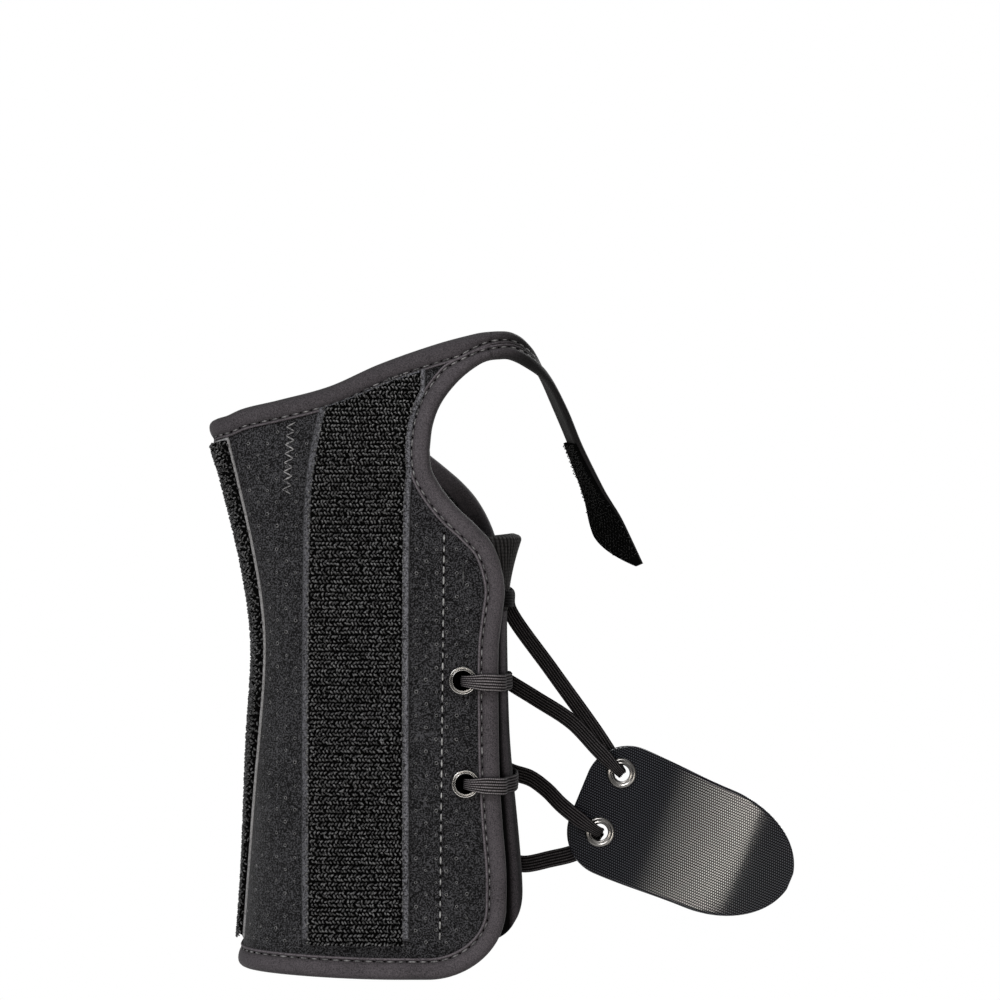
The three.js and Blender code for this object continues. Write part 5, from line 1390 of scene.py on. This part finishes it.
def buildPerforations():
    rng = np.random.default_rng(perforationSet["seed"])
    across, up = perforationSet["columns"], perforationSet["rows"]
    first, last = lacingEdgeS - perforationSet["fromLacing"], float(backEdge(cut["middleZ"]))
    foot = cut["hem"] + perforationSet["fromHem"]
    s, z = np.array([(s, z) for k, s in enumerate(np.arange(first, last, -across))
                     for z in np.arange(foot + (k % 2) * up / 2, perforationSet["top"], up)]).T
    share = shareAt(s, z)
    lower = throughPoints(thumbLower, perforationSet["samples"])
    inBody = (share >= 0) & (share <= 1) & (z < topZ(np.clip(share, 0, 1)))
    inFlap = (share < 0) & (z < np.interp(s, lower[:, 0], lower[:, 1]))
    outline = np.vstack([topRun, edgeRun])
    edgeGap = np.array([np.hypot(outline[:, 0] - a, outline[:, 1] - b).min() for a, b in zip(s, z)])
    eyeletGap = np.min([np.hypot(s - a, z - b) for a, b in eyeletSpots.values()], 0)
    good = (inBody | inFlap) & (edgeGap > perforationSet["edgeClear"])
    good &= eyeletGap > perforationSet["eyeletClear"]
    good &= outsideStrip(s, z, pocketSides, perforationSet["pocketClear"])
    good &= outsideStrip(s, z, backingSides, perforationSet["ulnarClear"])
    s, z = (a[good] + rng.normal(0, perforationSet["scatter"], good.sum()) for a in (s, z))
    places, run, face = surf(s, z, wrapSet["face"] + relief(s, z)), unit(runsAt(s, z)[0]), facing(s, z)
    size = rng.uniform(*perforationSet["size"], len(s))
    # the hole plugs are painted shade; the rims are painted highlight
    for name, tree, material, sizes in (("perforationRims", rimTree, paintedRimHighlight, "rim"),
                                        ("perforationHoles", plugTree, paintedHoleShade, "hole")):
        growOn(name, tree, places, run, face, size, material, "suede_cloth", perforationSet[sizes])
    print("perforations", len(s))


buildSewing()
buildPerforations()

flat = (lacingEdgeS - float(backEdge(cut["middleZ"])), float(topRows[:, 1].max()) - cut["hem"])

# floor, world and lights; each lamp is (name, place, size, power, tint)
lightSet = {
    "floorZ": -0.35, "floorRadius": 1.15, "floorSides": 128, "floorColour": (0.82, 0.82, 0.81),
    "floorRoughness": 0.8, "worldLit": 0.24, "worldSeen": 1.0, "aim": (0.02, 0.0, -0.02),
    "graded": "frontLamp", "grade": (0.9, 2.4),
    "lamps": [("keyLamp", (-0.8, -1.0, 1.1), (0.7, 0.7), 20.0, (1.0, 1.0, 1.0)),
              ("frontLamp", (0.3, -1.62, -0.29), (0.78, 0.5), 8.0, (1.0, 0.94, 0.86)),
              ("topLamp", (0.2, 0.5, 1.3), (0.9, 0.9), 9.0, (1.0, 1.0, 1.0)),
              ("backLamp", (0.75, 1.0, 0.45), (0.8, 0.8), 11.0, (1.0, 1.0, 1.0))],
}


def buildFloor():
    sides = lightSet["floorSides"]
    turn = np.arange(sides) / sides * 2 * math.pi
    rim = np.column_stack([np.cos(turn), np.sin(turn), np.zeros(sides)]) * lightSet["floorRadius"]
    mesh = bpy.data.meshes.new("floor")
    mesh.from_pydata((rim + [0, 0, lightSet["floorZ"]]).tolist(), [], [list(range(sides))])
    pale = bpy.data.materials.new("paleFloor")
    pale.use_nodes = True
    shader = pale.node_tree.nodes["Principled BSDF"].inputs
    shader["Base Color"].default_value = (*lightSet["floorColour"], 1)
    shader["Roughness"].default_value = lightSet["floorRoughness"]
    mesh.materials.append(pale)
    floor = bpy.data.objects.new("floor", mesh)
    scene.collection.objects.link(floor)


def buildWorld():
    world = bpy.data.worlds.new("studioWorld")
    world.use_nodes = True
    tree = world.node_tree
    lit, seen = tree.nodes["Background"], node(tree, "ShaderNodeBackground")
    for background, strength in ((lit, lightSet["worldLit"]), (seen, lightSet["worldSeen"])):
        background.inputs["Color"].default_value = (1, 1, 1, 1)
        background.inputs["Strength"].default_value = strength
    mix, rays = node(tree, "ShaderNodeMixShader"), node(tree, "ShaderNodeLightPath")
    links(tree, (rays.outputs["Is Camera Ray"], mix.inputs[0]), (lit.outputs[0], mix.inputs[1]),
          (seen.outputs[0], mix.inputs[2]), (mix.outputs[0], tree.nodes["World Output"].inputs["Surface"]))
    scene.world = world


# a lamp that fades from one side to the other
def gradeLamp(lamp):
    lamp.use_nodes = True
    tree = lamp.node_tree
    curve, strength = lightSet["grade"]
    place, split = node(tree, "ShaderNodeNewGeometry"), node(tree, "ShaderNodeSeparateXYZ")
    faded = mathNode(tree, "MULTIPLY", mathNode(tree, "POWER", split.outputs["X"], curve), strength)
    links(tree, (place.outputs["Parametric"], split.inputs[0]),
          (faded, tree.nodes["Emission"].inputs["Strength"]))


def buildLamps():
    for name, place, size, power, tint in lightSet["lamps"]:
        lamp = bpy.data.lights.new(name, "AREA")
        lamp.shape = "RECTANGLE"
        lamp.size, lamp.size_y = size
        lamp.energy = power
        lamp.color = tint
        if name == lightSet["graded"]:
            gradeLamp(lamp)
        holder = bpy.data.objects.new(name, lamp)
        holder.location = place
        aim = unit(np.array(lightSet["aim"]) - np.array(place))
        holder.rotation_euler = (math.acos(-aim[2]), 0, math.atan2(aim[1], aim[0]) - quarter)
        scene.collection.objects.link(holder)


buildFloor()
buildWorld()
buildLamps()
scene.view_settings.view_transform = "Standard"
print("stage")
